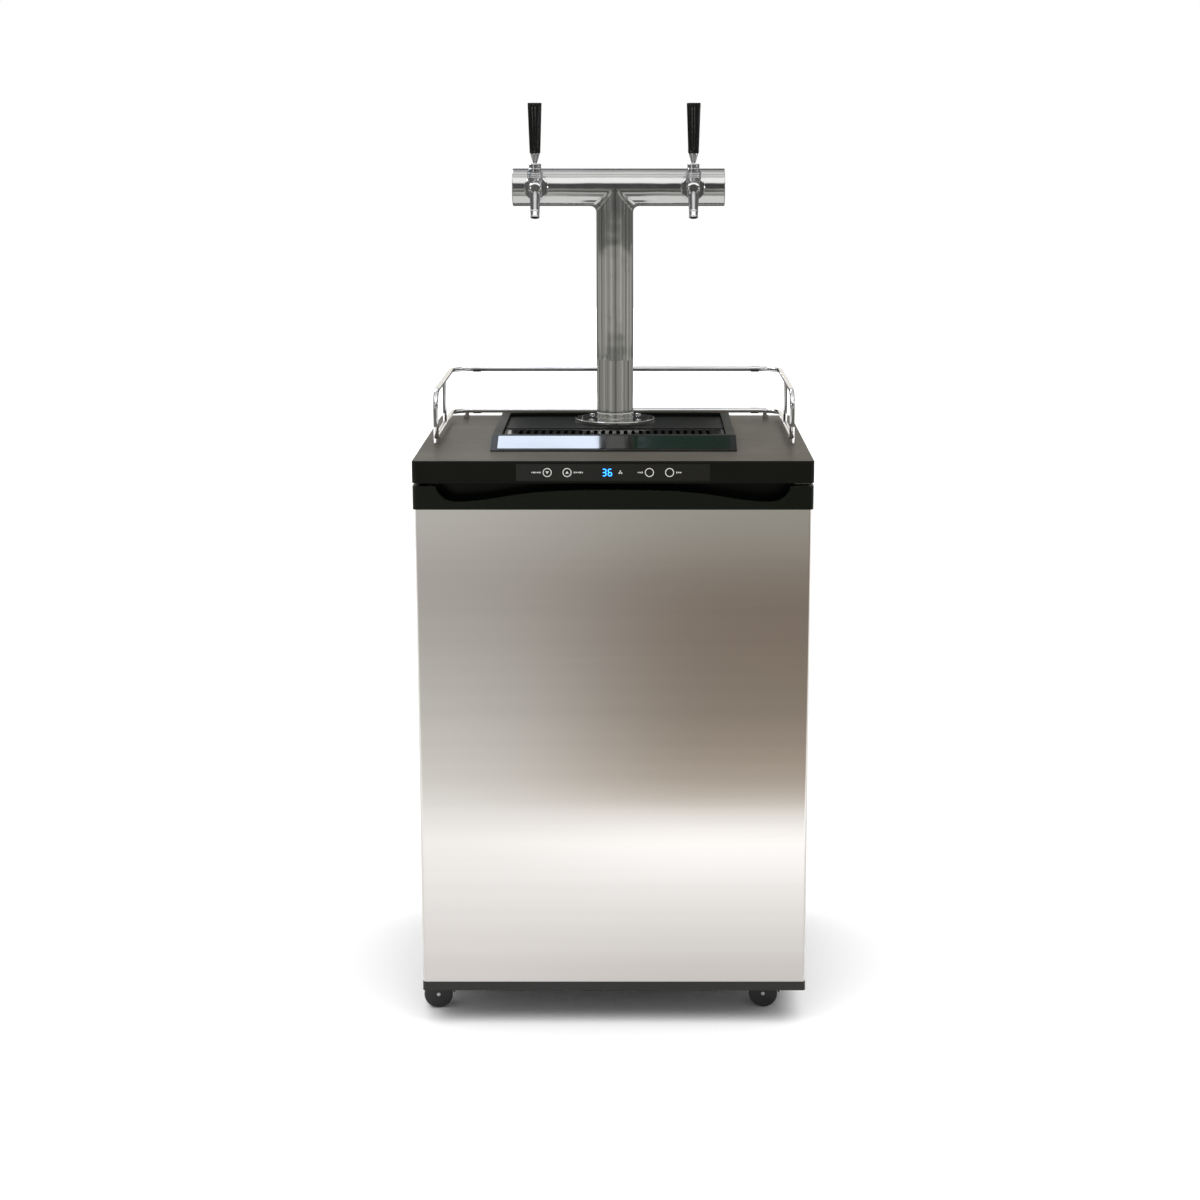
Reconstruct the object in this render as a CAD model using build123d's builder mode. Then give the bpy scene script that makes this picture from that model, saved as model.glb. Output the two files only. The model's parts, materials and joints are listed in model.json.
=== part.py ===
"""A two-tap kegerator: an insulated cabinet on castors with a stainless door, a deck with
a drip tray and guard rail, and a T-shaped beer tower with two forward-sealing taps.

Millimetres. +X is the right-hand side, -Y is the front, +Z is up, and z = 0 is the floor.
Each piece is written to parts/ as its own STEP file.
"""

from build123d import *
from math import cos, radians, sin
import os

os.makedirs("parts", exist_ok=True)

# ---- Driving dimensions ---------------------------------------------------------------
overall_width = 610.0
overall_depth = 590.0
castor_height = 56.0
deck_top = 901.0
front_y = -overall_depth / 2

# Cabinet and deck
deck_depth = 560.0
skirt_height = 34.0
deck_wall = 3.0
cabinet_half_width = 302.0
cabinet_front = front_y + 62
cabinet_back = front_y + 555
skirt_bottom = deck_top - skirt_height
sheet = 1.0
front_return = 15.0
rear_return = 12.0
side_bottom = castor_height + 4
side_top = skirt_bottom + 14

# Insulated chamber: the air space, and the step in it over the compressor
wall = 2.0
chamber_half = 254.0
chamber_back = cabinet_back - 50
chamber_floor = 101.0
chamber_ceiling = 823.0
seam = 0.1
rib_depth = 4.0
rib_height = 9.0
rib_count = 4
rib_pitch = 120.0
first_rib_z = 380.0
step_front = chamber_back - 150
step_top = 305.0
bay_front = step_front + 45
bay_ceiling = step_top - 42
bay_half = 290.0

# Raised surround of the drip tray and the tower
surround_half = 191.5
surround_front = front_y + 103
surround_slope_end = surround_front + 48
surround_back = surround_front + 340
surround_height = 20.0
rim_width = 15.0
plinth_height = 14.0
well_front = surround_slope_end + 7
well_back = front_y + 275
well_half = surround_half - rim_width
well_floor = deck_top - 16
passage_r = 25.0

# Tower
tower_y = front_y + 360
gasket_thickness = 3.0
flange_thickness = 4.0
flange_r = 65.5
flange_bolt_r = 54.0
tube_r = 30.0
tube_wall = 2.0
bar_z = 1298.0
bar_length = 344.0
bar_shift = 6.5  # the cross tube reaches further to the right of the column
tap_spacing = 252.6
flange_bottom = deck_top + plinth_height + gasket_thickness
flange_top = flange_bottom + flange_thickness

# Taps
tap_y = tower_y - 66
lever_pivot_z = bar_z + 33
tap_x = (-tap_spacing / 2, tap_spacing / 2)

# Door
door_half = 302.0
door_back = front_y + 54
door_bottom = castor_height
trim_top = door_bottom + 14
cap_top = skirt_bottom - 4.5
cap_bottom = cap_top - 36
panel_wall = 2.0
hinge_x = 290.0
hinge_y = front_y + 27
pin_r = 4.0
running = 0.08

# Castors
castor_x = 263.0
castor_front_y = front_y + 88
castor_back_y = cabinet_back - 45
wheel_r = 23.0
trail = 22.0
castor_headings = {
    "front_left": (-castor_x, castor_front_y, 184.0),
    "front_right": (castor_x, castor_front_y, 175.0),
    "rear_left": (-castor_x, castor_back_y, 158.0),
    "rear_right": (castor_x, castor_back_y, 196.0),
}

# Guard rail
rail_x = 281.0
rail_front = front_y + 171
rail_back = front_y + 520
rail_r = 4.0
rail_low = deck_top + 13
rail_high = deck_top + 85
rail_joint_x = 246.0
peg_r = 3.0
peg_x = rail_joint_x + 12
peg_y = rail_front + 14

# Controls
button_positions = {"cooler": -99.5, "warmer": -69.5, "light": 55.0, "power": 85.5}
button_r = 7.0
button_z = deck_top - 17.5
panel_half = 147.0
panel_height = 26.0
board_half = 130.0
post_x = 122.0


def save(part, name):
    """Labels a finished piece and writes it as its own STEP file."""
    part.label = name
    export_step(part, f"parts/{name}.step")


def box_between(low, high, mode=Mode.ADD):
    """A box from its lowest corner to its highest corner, inside the part being built."""
    centre = [(a + b) / 2 for a, b in zip(low, high)]
    size = [b - a for a, b in zip(low, high)]
    with Locations(tuple(centre)):
        Box(*size, mode=mode)


def plane_along_y(x, y, z):
    """A plane at a point, facing the front (-Y), with its own Y axis pointing up."""
    return Plane(origin=(x, y, z), x_dir=(1, 0, 0), z_dir=(0, -1, 0))


def sweep_rod(points, radii, rod_r, bore_r=0.0):
    """Adds a rod or tube along straight runs joined by arcs, one radius for each bend."""
    with BuildLine() as route:
        FilletPolyline(*points, radius=radii)
    with BuildSketch(Plane(origin=route.line @ 0, z_dir=route.line % 0)) as section:
        Circle(rod_r)
        if bore_r:
            Circle(bore_r, mode=Mode.SUBTRACT)
    sweep(section.sketch, path=route.line)


# ---- Cabinet --------------------------------------------------------------------------
with BuildPart() as side_panels:
    # One steel side with its front and rear returns, and its mirror image.
    with BuildSketch(Plane.XY.offset(side_bottom)):
        with BuildLine():
            Polyline(
                (cabinet_half_width - front_return, cabinet_front),
                (cabinet_half_width, cabinet_front),
                (cabinet_half_width, cabinet_back),
                (cabinet_half_width - rear_return, cabinet_back),
                (cabinet_half_width - rear_return, cabinet_back - sheet),
                (cabinet_half_width - sheet, cabinet_back - sheet),
                (cabinet_half_width - sheet, cabinet_front + sheet),
                (cabinet_half_width - front_return, cabinet_front + sheet),
                close=True,
            )
        make_face()
        mirror(about=Plane.YZ)
    extrude(amount=side_top - side_bottom)
save(side_panels.part, "side_panels")

gas_port_x = -150.0
gas_port_z = 323.0
gas_port_r = 10.0
inlet_x = 200.0
inlet_z = 308.0
inlet_width = 46.0
inlet_height = 27.0
inlet_depth = 36.0
with BuildPart() as rear_panel:
    box_between(
        (-cabinet_half_width + rear_return, cabinet_back - sheet, bay_ceiling - 3),
        (cabinet_half_width - rear_return, cabinet_back, side_top),
    )
    with BuildSketch(plane_along_y(gas_port_x, cabinet_back + 1, gas_port_z)):
        Circle(gas_port_r)
    extrude(amount=4, mode=Mode.SUBTRACT)
    with BuildSketch(plane_along_y(inlet_x, cabinet_back + 1, inlet_z)):
        Rectangle(inlet_width, inlet_height)
    extrude(amount=4, mode=Mode.SUBTRACT)
save(rear_panel.part, "rear_panel")

louvre_pitch = 22.0
louvre_count = 24
rear_lip = 28.0
with BuildPart() as base_pan:
    box_between(
        (-cabinet_half_width + sheet, cabinet_front, castor_height),
        (cabinet_half_width - sheet, cabinet_back, castor_height + 2),
    )
    # Front lip below the chamber's face flange, and a louvred lip across the bay's mouth.
    box_between(
        (-cabinet_half_width + sheet, cabinet_front, castor_height),
        (cabinet_half_width - sheet, cabinet_front + 1.5, side_bottom),
    )
    box_between(
        (-bay_half, cabinet_back - 1.5, castor_height),
        (bay_half, cabinet_back, castor_height + rear_lip),
    )
    with BuildSketch(plane_along_y(0, cabinet_back + 1, castor_height + rear_lip / 2 + 1)):
        with GridLocations(louvre_pitch, 1, louvre_count, 1):
            SlotOverall(rear_lip - 12, 5, rotation=90)
    extrude(amount=4, mode=Mode.SUBTRACT)
save(base_pan.part, "base_pan")


def chamber_corners(grow):
    """Side profile of the chamber, stepped over the compressor, grown by a wall thickness."""
    return (
        (cabinet_front, chamber_floor - grow),
        (step_front + grow, chamber_floor - grow),
        (step_front + grow, step_top - grow),
        (chamber_back + grow, step_top - grow),
        (chamber_back + grow, chamber_ceiling + grow),
        (cabinet_front, chamber_ceiling + grow),
    )


side_plane = Plane(origin=(0, 0, 0), x_dir=(0, 1, 0), z_dir=(1, 0, 0))

liner_out = chamber_half + wall
flange_out = cabinet_half_width - front_return - 0.5
flange_low, flange_high = castor_height + 6, skirt_bottom - 1
with BuildPart() as inner_liner:
    # Folded panels that meet at fine seams: ceiling, floor, back, and the step
    box_between(
        (-liner_out, cabinet_front + wall + seam, chamber_ceiling),
        (liner_out, chamber_back + wall, chamber_ceiling + wall),
    )
    box_between(
        (-liner_out, cabinet_front + wall + seam, chamber_floor - wall),
        (liner_out, step_front + wall, chamber_floor),
    )
    box_between(
        (-liner_out, step_front, chamber_floor + seam),
        (liner_out, step_front + wall, step_top - wall - seam),
    )
    box_between(
        (-liner_out, step_front, step_top - wall),
        (liner_out, chamber_back + wall, step_top),
    )
    box_between(
        (-liner_out, chamber_back, step_top + seam),
        (liner_out, chamber_back + wall, chamber_ceiling - seam),
    )
    for side in (-1, 1):
        # Side wall in two panels, and the moulded ribs of each
        near, far = sorted((side * chamber_half, side * liner_out))
        box_between(
            (near, cabinet_front + wall + seam, chamber_floor + seam),
            (far, step_front - seam, chamber_ceiling - seam),
        )
        box_between(
            (near, step_front, step_top + seam),
            (far, chamber_back - seam, chamber_ceiling - seam),
        )
        near, far = sorted((side * chamber_half, side * (chamber_half - rib_depth)))
        for level in range(rib_count):
            rib_z = first_rib_z + rib_pitch * level
            box_between(
                (near, cabinet_front + 40, rib_z),
                (far, step_front - 20, rib_z + rib_height),
            )
        # Upright of the face frame that the door gasket closes on
        near, far = sorted((side * chamber_half, side * flange_out))
        box_between(
            (near, cabinet_front, flange_low), (far, cabinet_front + wall, flange_high)
        )
    for low, high in (
        (flange_low, chamber_floor),
        (chamber_ceiling, flange_high),
    ):
        box_between(
            (-chamber_half + seam, cabinet_front, low),
            (chamber_half - seam, cabinet_front + wall, high),
        )
    with BuildSketch(Plane.XY.offset(chamber_ceiling - 1)):
        with Locations((0, tower_y)):
            Circle(passage_r)
    extrude(amount=wall + 2, mode=Mode.SUBTRACT)
    with BuildSketch(plane_along_y(gas_port_x, chamber_back + wall + 1, gas_port_z)):
        Circle(gas_port_r)
    extrude(amount=wall + 2, mode=Mode.SUBTRACT)
save(inner_liner.part, "inner_liner")

deck_underside = deck_top - deck_wall
well_outer_front = well_front - deck_wall
well_outer_back = well_back + deck_wall
well_outer_half = well_half + deck_wall

with BuildPart() as insulation_foam:
    box_between(
        (-cabinet_half_width + sheet, cabinet_front + wall, castor_height + 2),
        (cabinet_half_width - sheet, cabinet_back - sheet, deck_underside),
    )
    with BuildSketch(side_plane):
        Polygon(*chamber_corners(wall), align=None)
    extrude(amount=chamber_half + wall, both=True, mode=Mode.SUBTRACT)
    box_between(
        (-bay_half, bay_front, castor_height + 1),
        (bay_half, cabinet_back + 1, bay_ceiling - 3),
        mode=Mode.SUBTRACT,
    )
    box_between(
        (-well_outer_half, well_outer_front, well_floor - deck_wall),
        (well_outer_half, well_outer_back, deck_top),
        mode=Mode.SUBTRACT,
    )
    with BuildSketch(Plane.XY.offset(chamber_ceiling)):
        with Locations((0, tower_y)):
            Circle(passage_r)
    extrude(amount=90, mode=Mode.SUBTRACT)
    with BuildSketch(plane_along_y(gas_port_x, cabinet_back + 1, gas_port_z)):
        Circle(gas_port_r)
    extrude(amount=60, mode=Mode.SUBTRACT)
    box_between(
        (inlet_x - inlet_width / 2, cabinet_back - inlet_depth, inlet_z - inlet_height / 2),
        (inlet_x + inlet_width / 2, cabinet_back + 1, inlet_z + inlet_height / 2),
        mode=Mode.SUBTRACT,
    )
save(insulation_foam.part, "insulation_foam")

# ---- Deck -----------------------------------------------------------------------------
deck_centre_y = front_y + deck_depth / 2
strip_inset = 10.0

with BuildPart() as top_cover:
    with BuildSketch(Plane.XY.offset(skirt_bottom)):
        with Locations((0, deck_centre_y)):
            RectangleRounded(overall_width, deck_depth, 9)
    extrude(amount=skirt_height)
    fillet(top_cover.faces().sort_by(Axis.Z)[-1].edges(), 2.5)
    # Raised surround: sloped front, flat rim, plinth for the tower, well for the tray
    with BuildSketch(side_plane):
        with BuildLine():
            Polyline(
                (surround_front, deck_top - 1),
                (surround_front, deck_top + 2),
                (surround_slope_end, deck_top + surround_height),
                (surround_back - 4, deck_top + surround_height),
                (surround_back, deck_top - 1),
                close=True,
            )
        make_face()
    extrude(amount=surround_half, both=True)
    rim_edges = top_cover.edges().filter_by_position(
        Axis.Z, deck_top + surround_height - 0.1, deck_top + surround_height + 0.1
    )
    fillet(rim_edges, 2.0)
    box_between(
        (-well_half, well_front, deck_top + plinth_height),
        (well_half, surround_back - rim_width, deck_top + surround_height + 1),
        mode=Mode.SUBTRACT,
    )
    box_between(
        (-well_half, well_front, well_floor),
        (well_half, well_back, deck_top + plinth_height + 1),
        mode=Mode.SUBTRACT,
    )
    # Hollow underside, left solid round the well, and the cavity behind the fascia
    box_between(
        (-cabinet_half_width, cabinet_front, skirt_bottom - 1),
        (cabinet_half_width, cabinet_back, well_floor - deck_wall),
        mode=Mode.SUBTRACT,
    )
    box_between(
        (-cabinet_half_width, well_outer_back, skirt_bottom),
        (cabinet_half_width, cabinet_back, deck_underside),
        mode=Mode.SUBTRACT,
    )
    box_between(
        (-cabinet_half_width, cabinet_front, skirt_bottom),
        (cabinet_half_width, well_outer_front, deck_underside),
        mode=Mode.SUBTRACT,
    )
    for side in (-1, 1):
        near, far = sorted((side * well_outer_half, side * cabinet_half_width))
        box_between(
            (near, cabinet_front, skirt_bottom),
            (far, cabinet_back, deck_underside),
            mode=Mode.SUBTRACT,
        )
    box_between(
        (-overall_width / 2 + 8, front_y + 8, skirt_bottom + 4),
        (overall_width / 2 - 8, cabinet_front + 1, deck_underside - 1),
        mode=Mode.SUBTRACT,
    )
    # Tower passage, rail sockets, button holes and the seats of the panel and the strip
    with BuildSketch(Plane.XY.offset(deck_underside - 1)):
        with Locations((0, tower_y)):
            Circle(passage_r)
    extrude(amount=30, mode=Mode.SUBTRACT)
    with BuildSketch(Plane.XY.offset(deck_underside - 1)):
        with Locations(
            (-rail_x, peg_y), (rail_x, peg_y), (-peg_x, rail_back), (peg_x, rail_back),
        ):
            Circle(peg_r + 0.1)
    extrude(amount=deck_wall + 2, mode=Mode.SUBTRACT)
    with BuildSketch(plane_along_y(0, front_y - 1, button_z)):
        Rectangle(2 * panel_half, panel_height)
    extrude(amount=-2, mode=Mode.SUBTRACT)
    with BuildSketch(plane_along_y(0, front_y - 1, button_z)):
        with Locations(*[(x, 0) for x in button_positions.values()]):
            Circle(button_r + 0.3)
    extrude(amount=-12, mode=Mode.SUBTRACT)
slope_run = surround_slope_end - surround_front
slope_rise = surround_height - 2
slope_length = (slope_run**2 + slope_rise**2) ** 0.5
slope_plane = Plane(
    origin=(0, (surround_front + surround_slope_end) / 2, deck_top + 2 + slope_rise / 2),
    x_dir=(1, 0, 0),
    z_dir=(0, -slope_rise, slope_run),
)
strip_length = 2 * (surround_half - strip_inset)
strip_height = slope_length - 9
with BuildPart() as strip_recess:
    with BuildSketch(slope_plane):
        RectangleRounded(strip_length, strip_height, 2)
    extrude(amount=-1.5)
    with BuildSketch(slope_plane):
        RectangleRounded(strip_length, strip_height, 2)
    extrude(amount=4)
with BuildPart() as deck_with_recess:
    add(top_cover.part)
    add(strip_recess.part, mode=Mode.SUBTRACT)
save(deck_with_recess.part, "top_cover")

with BuildPart() as tray_front_strip:
    with BuildSketch(slope_plane.offset(-1.5)):
        RectangleRounded(strip_length - 0.4, strip_height - 0.4, 1.8)
    extrude(amount=2.1)
    chamfer(tray_front_strip.faces().sort_by(SortBy.AREA)[-2:].edges(), 0.3)
save(tray_front_strip.part, "tray_front_strip")

with BuildPart() as control_panel:
    with BuildSketch(plane_along_y(0, front_y + 1, button_z)):
        RectangleRounded(2 * panel_half - 0.4, panel_height - 0.4, 1.5)
        with Locations(*[(x, 0) for x in button_positions.values()]):
            Circle(button_r + 0.3, mode=Mode.SUBTRACT)
    extrude(amount=0.6)
save(control_panel.part, "control_panel")

for button_name, button_x in button_positions.items():
    with BuildPart() as button:
        with BuildSketch(plane_along_y(button_x, front_y + 5, button_z)):
            Circle(button_r)
        extrude(amount=4.8)
        fillet(button.faces().sort_by(Axis.Y)[0].edges(), 0.6)
    save(button.part, f"button_{button_name}")

with BuildPart() as control_board:
    # Circuit board behind the fascia, its stand-offs, and a switch behind each button
    box_between(
        (-board_half, front_y + 11, skirt_bottom + 6), (board_half, front_y + 12.6, deck_top - 6)
    )
    for x in (-post_x, post_x):
        box_between((x - 3, front_y + 8, button_z - 3), (x + 3, front_y + 11, button_z + 3))
    for button_x in button_positions.values():
        box_between(
            (button_x - 3, front_y + 6, button_z - 3), (button_x + 3, front_y + 11, button_z + 3)
        )
save(control_board.part, "control_board")

# ---- Drip tray ------------------------------------------------------------------------
tray_gap = 0.8
tray_top = deck_top + plinth_height - 1.2
grille_seat = tray_top - 3
with BuildPart() as drip_tray:
    box_between(
        (-well_half + tray_gap, well_front + tray_gap, well_floor),
        (well_half - tray_gap, well_back - tray_gap, tray_top),
    )
    fillet(drip_tray.edges().filter_by(Axis.Z), 6)
    box_between(
        (-well_half + 5, well_front + 5, grille_seat),
        (well_half - 5, well_back - 5, tray_top + 1),
        mode=Mode.SUBTRACT,
    )
    box_between(
        (-well_half + 9, well_front + 9, well_floor + 2.4),
        (well_half - 9, well_back - 9, tray_top),
        mode=Mode.SUBTRACT,
    )
save(drip_tray.part, "drip_tray")

slot_pitch = 12.0
slot_count = 26
slot_run = well_back - well_front - 34
with BuildPart() as tray_grille:
    box_between(
        (-well_half + 5.5, well_front + 5.5, grille_seat),
        (well_half - 5.5, well_back - 5.5, tray_top - 0.2),
    )
    with BuildSketch(Plane.XY.offset(grille_seat - 1)):
        with Locations((0, (well_front + well_back) / 2)):
            with GridLocations(slot_pitch, 1, slot_count, 1):
                SlotOverall(slot_run, 6, rotation=90)
    extrude(amount=6, mode=Mode.SUBTRACT)
save(tray_grille.part, "tray_grille")

# ---- Guard rail -----------------------------------------------------------------------
corner_r = 34.0
with BuildPart() as guard_rail_sides:
    for side in (-1, 1):
        loop_points = (
            (side * rail_joint_x, rail_back, rail_high),
            (side * rail_x, rail_back, rail_high),
            (side * rail_x, rail_front, rail_high),
            (side * rail_x, rail_front, rail_low),
            (side * rail_x, rail_back, rail_low),
            (side * rail_joint_x, rail_back, rail_low),
        )
        sweep_rod(loop_points, (corner_r, 26, 10, corner_r), rail_r)
        # Strut at mid length, and the two pegs that stand in the deck's sockets
        with Locations((side * rail_x, (rail_front + rail_back) / 2, (rail_low + rail_high) / 2)):
            Cylinder(3, rail_high - rail_low - 2)
        for peg_place in ((side * rail_x, peg_y), (side * peg_x, rail_back)):
            with Locations((*peg_place, (deck_top + rail_low) / 2)):
                Cylinder(peg_r + 2, rail_low - deck_top)
            with Locations((*peg_place, deck_top - deck_wall / 2)):
                Cylinder(peg_r, deck_wall)
save(guard_rail_sides.part, "guard_rail_sides")

with BuildPart() as guard_rail_back:
    for bar_height in (rail_low, rail_high):
        with Locations(Location((0, rail_back, bar_height), (0, 90, 0))):
            Cylinder(rail_r, 2 * rail_joint_x)
        for side in (-1, 1):
            with Locations(Location((side * (rail_joint_x - 7), rail_back, bar_height), (0, 90, 0))):
                Cylinder(rail_r + 1.2, 14)
save(guard_rail_back.part, "guard_rail_back")

# ---- Tower ----------------------------------------------------------------------------
with BuildPart() as tower_gasket:
    with BuildSketch(Plane.XY.offset(deck_top + plinth_height)):
        with Locations((0, tower_y)):
            Circle(flange_r)
            Circle(passage_r, mode=Mode.SUBTRACT)
            with PolarLocations(flange_bolt_r, 4, start_angle=45):
                Circle(2.6, mode=Mode.SUBTRACT)
    extrude(amount=gasket_thickness)
save(tower_gasket.part, "tower_gasket")

with BuildPart() as tower_flange:
    with BuildSketch(Plane.XY.offset(flange_bottom)):
        with Locations((0, tower_y)):
            Circle(flange_r)
            Circle(tube_r - tube_wall, mode=Mode.SUBTRACT)
            with PolarLocations(flange_bolt_r, 4, start_angle=45):
                Circle(2.6, mode=Mode.SUBTRACT)
    extrude(amount=flange_thickness)
    fillet(tower_flange.edges().filter_by(GeomType.CIRCLE).sort_by(SortBy.RADIUS)[-1], 1.5)
save(tower_flange.part, "tower_flange")

with BuildPart() as tower_tee:
    with BuildSketch(Plane.XY.offset(flange_top)):
        with Locations((0, tower_y)):
            Circle(tube_r)
    extrude(amount=bar_z - flange_top)
    with Locations(Location((bar_shift, tower_y, bar_z), (0, 90, 0))):
        Cylinder(tube_r, bar_length - 4)
    with BuildSketch(Plane.XY.offset(flange_top)):
        with Locations((0, tower_y)):
            Circle(tube_r - tube_wall)
    extrude(amount=bar_z - flange_top, mode=Mode.SUBTRACT)
    with Locations(Location((bar_shift, tower_y, bar_z), (0, 90, 0))):
        Cylinder(tube_r - tube_wall, bar_length, mode=Mode.SUBTRACT)
    for x in tap_x:
        with BuildSketch(plane_along_y(x, tower_y, bar_z)):
            Circle(11.2)
        extrude(amount=tube_r + 5, mode=Mode.SUBTRACT)
save(tower_tee.part, "tower_tee")

with BuildPart() as tbar_end_caps:
    for side in (-1, 1):
        cap_plane = Plane(
            origin=(bar_shift + side * (bar_length / 2 - 2), tower_y, bar_z),
            z_dir=(side, 0, 0),
        )
        with BuildSketch(cap_plane):
            Circle(tube_r)
        extrude(amount=2)
        with BuildSketch(cap_plane):
            Circle(tube_r - tube_wall - 0.1)
            Circle(tube_r - tube_wall - 2.1, mode=Mode.SUBTRACT)
        extrude(amount=-10)
    outer_rims = tbar_end_caps.edges().filter_by(GeomType.CIRCLE).sort_by(Axis.X)
    fillet([outer_rims[0], outer_rims[-1]], 1.2)
save(tbar_end_caps.part, "tbar_end_caps")

# ---- Taps -----------------------------------------------------------------------------
collar_front = tower_y - tube_r - 7
shank_front = collar_front - 10
shank_back = tower_y - 8
barrel_front = tap_y - 16

with BuildPart() as tap_shanks:
    for x in tap_x:
        with BuildSketch(plane_along_y(x, shank_back, bar_z)):
            Circle(11)
            Circle(4, mode=Mode.SUBTRACT)
        extrude(amount=shank_back - shank_front)
        # Hexagonal lock nut inside the cross tube
        with BuildSketch(plane_along_y(x, tower_y - 15, bar_z)):
            RegularPolygon(15, 6)
            Circle(11, mode=Mode.SUBTRACT)
        extrude(amount=7)
save(tap_shanks.part, "tap_shanks")

with BuildPart() as shank_collars:
    for x in tap_x:
        with BuildSketch(plane_along_y(x, tower_y - 20, bar_z)):
            Circle(20)
            Circle(11.1, mode=Mode.SUBTRACT)
        extrude(amount=tower_y - 20 - collar_front)
    fillet(
        shank_collars.edges()
        .filter_by(GeomType.CIRCLE)
        .group_by(Axis.Y)[0]
        .sort_by(SortBy.RADIUS)[-2:],
        2.5,
    )
    with Locations(Location((0, tower_y, bar_z), (0, 90, 0))):
        Cylinder(tube_r, bar_length, mode=Mode.SUBTRACT)
save(shank_collars.part, "shank_collars")

with BuildPart() as tap_nuts:
    for x in tap_x:
        # Coupling nut with spanner notches
        with BuildSketch(plane_along_y(x, collar_front, bar_z)):
            Circle(16.5)
            Circle(11.1, mode=Mode.SUBTRACT)
            with PolarLocations(16.5, 6):
                Circle(1.8, mode=Mode.SUBTRACT)
        extrude(amount=13)
        # Bonnet nut round the lever ball: a stepped ring whose mouth opens in a cone
        with BuildSketch(Plane(origin=(x, tap_y, 0), x_dir=(1, 0, 0), z_dir=(0, -1, 0))):
            with BuildLine():
                Polyline(
                    (6.4, bar_z + 27),
                    (10.6, bar_z + 27),
                    (10.6, bar_z + 31),
                    (9.5, bar_z + 32),
                    (9.5, bar_z + 38),
                    (8.7, bar_z + 39),
                    (8.3, bar_z + 38.4),
                    (6.4, bar_z + 34.5),
                    close=True,
                )
            make_face()
        revolve(axis=Axis((x, tap_y, 0), (0, 0, 1)))
save(tap_nuts.part, "tap_nuts")

spout_tilt = 19.0
spout_taper_length = 36.0
spout_length = 48.0
with BuildPart() as tap_bodies:
    # Barrels that the shanks feed, with round noses
    with BuildSketch(plane_along_y(0, shank_front, bar_z)):
        with Locations(*[(x, 0) for x in tap_x]):
            Circle(11)
    extrude(amount=shank_front - barrel_front)
    fillet(tap_bodies.edges().filter_by(GeomType.CIRCLE).group_by(Axis.Y)[0], 5)
    for x in tap_x:
        # Tower that holds the lever
        with Locations((x, tap_y, bar_z + 7)):
            Cylinder(10.5, 14)
        with BuildSketch(Plane.XY.offset(bar_z + 12)):
            with Locations((x, tap_y)):
                Circle(10.5)
        with BuildSketch(Plane.XY.offset(bar_z + 16)):
            with Locations((x, tap_y)):
                Circle(12.5)
        loft()
        with Locations((x, tap_y, bar_z + 21.5)):
            Cylinder(12.5, 11)
        # Tapered spout that leans forward
        spout_root = Plane(
            origin=(x, barrel_front + 11, bar_z),
            x_dir=(1, 0, 0),
            z_dir=(0, -sin(radians(spout_tilt)), -cos(radians(spout_tilt))),
        )
        with BuildSketch(spout_root):
            Circle(9.6)
        with BuildSketch(spout_root.offset(spout_taper_length)):
            Circle(7.2)
        loft()
        with BuildSketch(spout_root.offset(spout_taper_length)):
            Circle(7.0)
        extrude(amount=spout_length - spout_taper_length)
        with BuildSketch(spout_root.offset(2)):
            Circle(5.4)
        extrude(amount=spout_length, mode=Mode.SUBTRACT)
        # Shuttle bore, and the space that the lever tip swings in
        with BuildSketch(plane_along_y(x, shank_front + 1, bar_z)):
            Circle(6.6)
        extrude(amount=shank_front + 1 - barrel_front - 4, mode=Mode.SUBTRACT)
        box_between(
            (x - 4, tap_y - 6, bar_z),
            (x + 4, tap_y + 11, bar_z + 25),
            mode=Mode.SUBTRACT,
        )
        with Locations((x, tap_y, lever_pivot_z)):
            Sphere(6.4, mode=Mode.SUBTRACT)
        with Locations((x, tap_y, bar_z + 25.5)):
            Cylinder(7.4, 3, mode=Mode.SUBTRACT)
save(tap_bodies.part, "tap_bodies")

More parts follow.
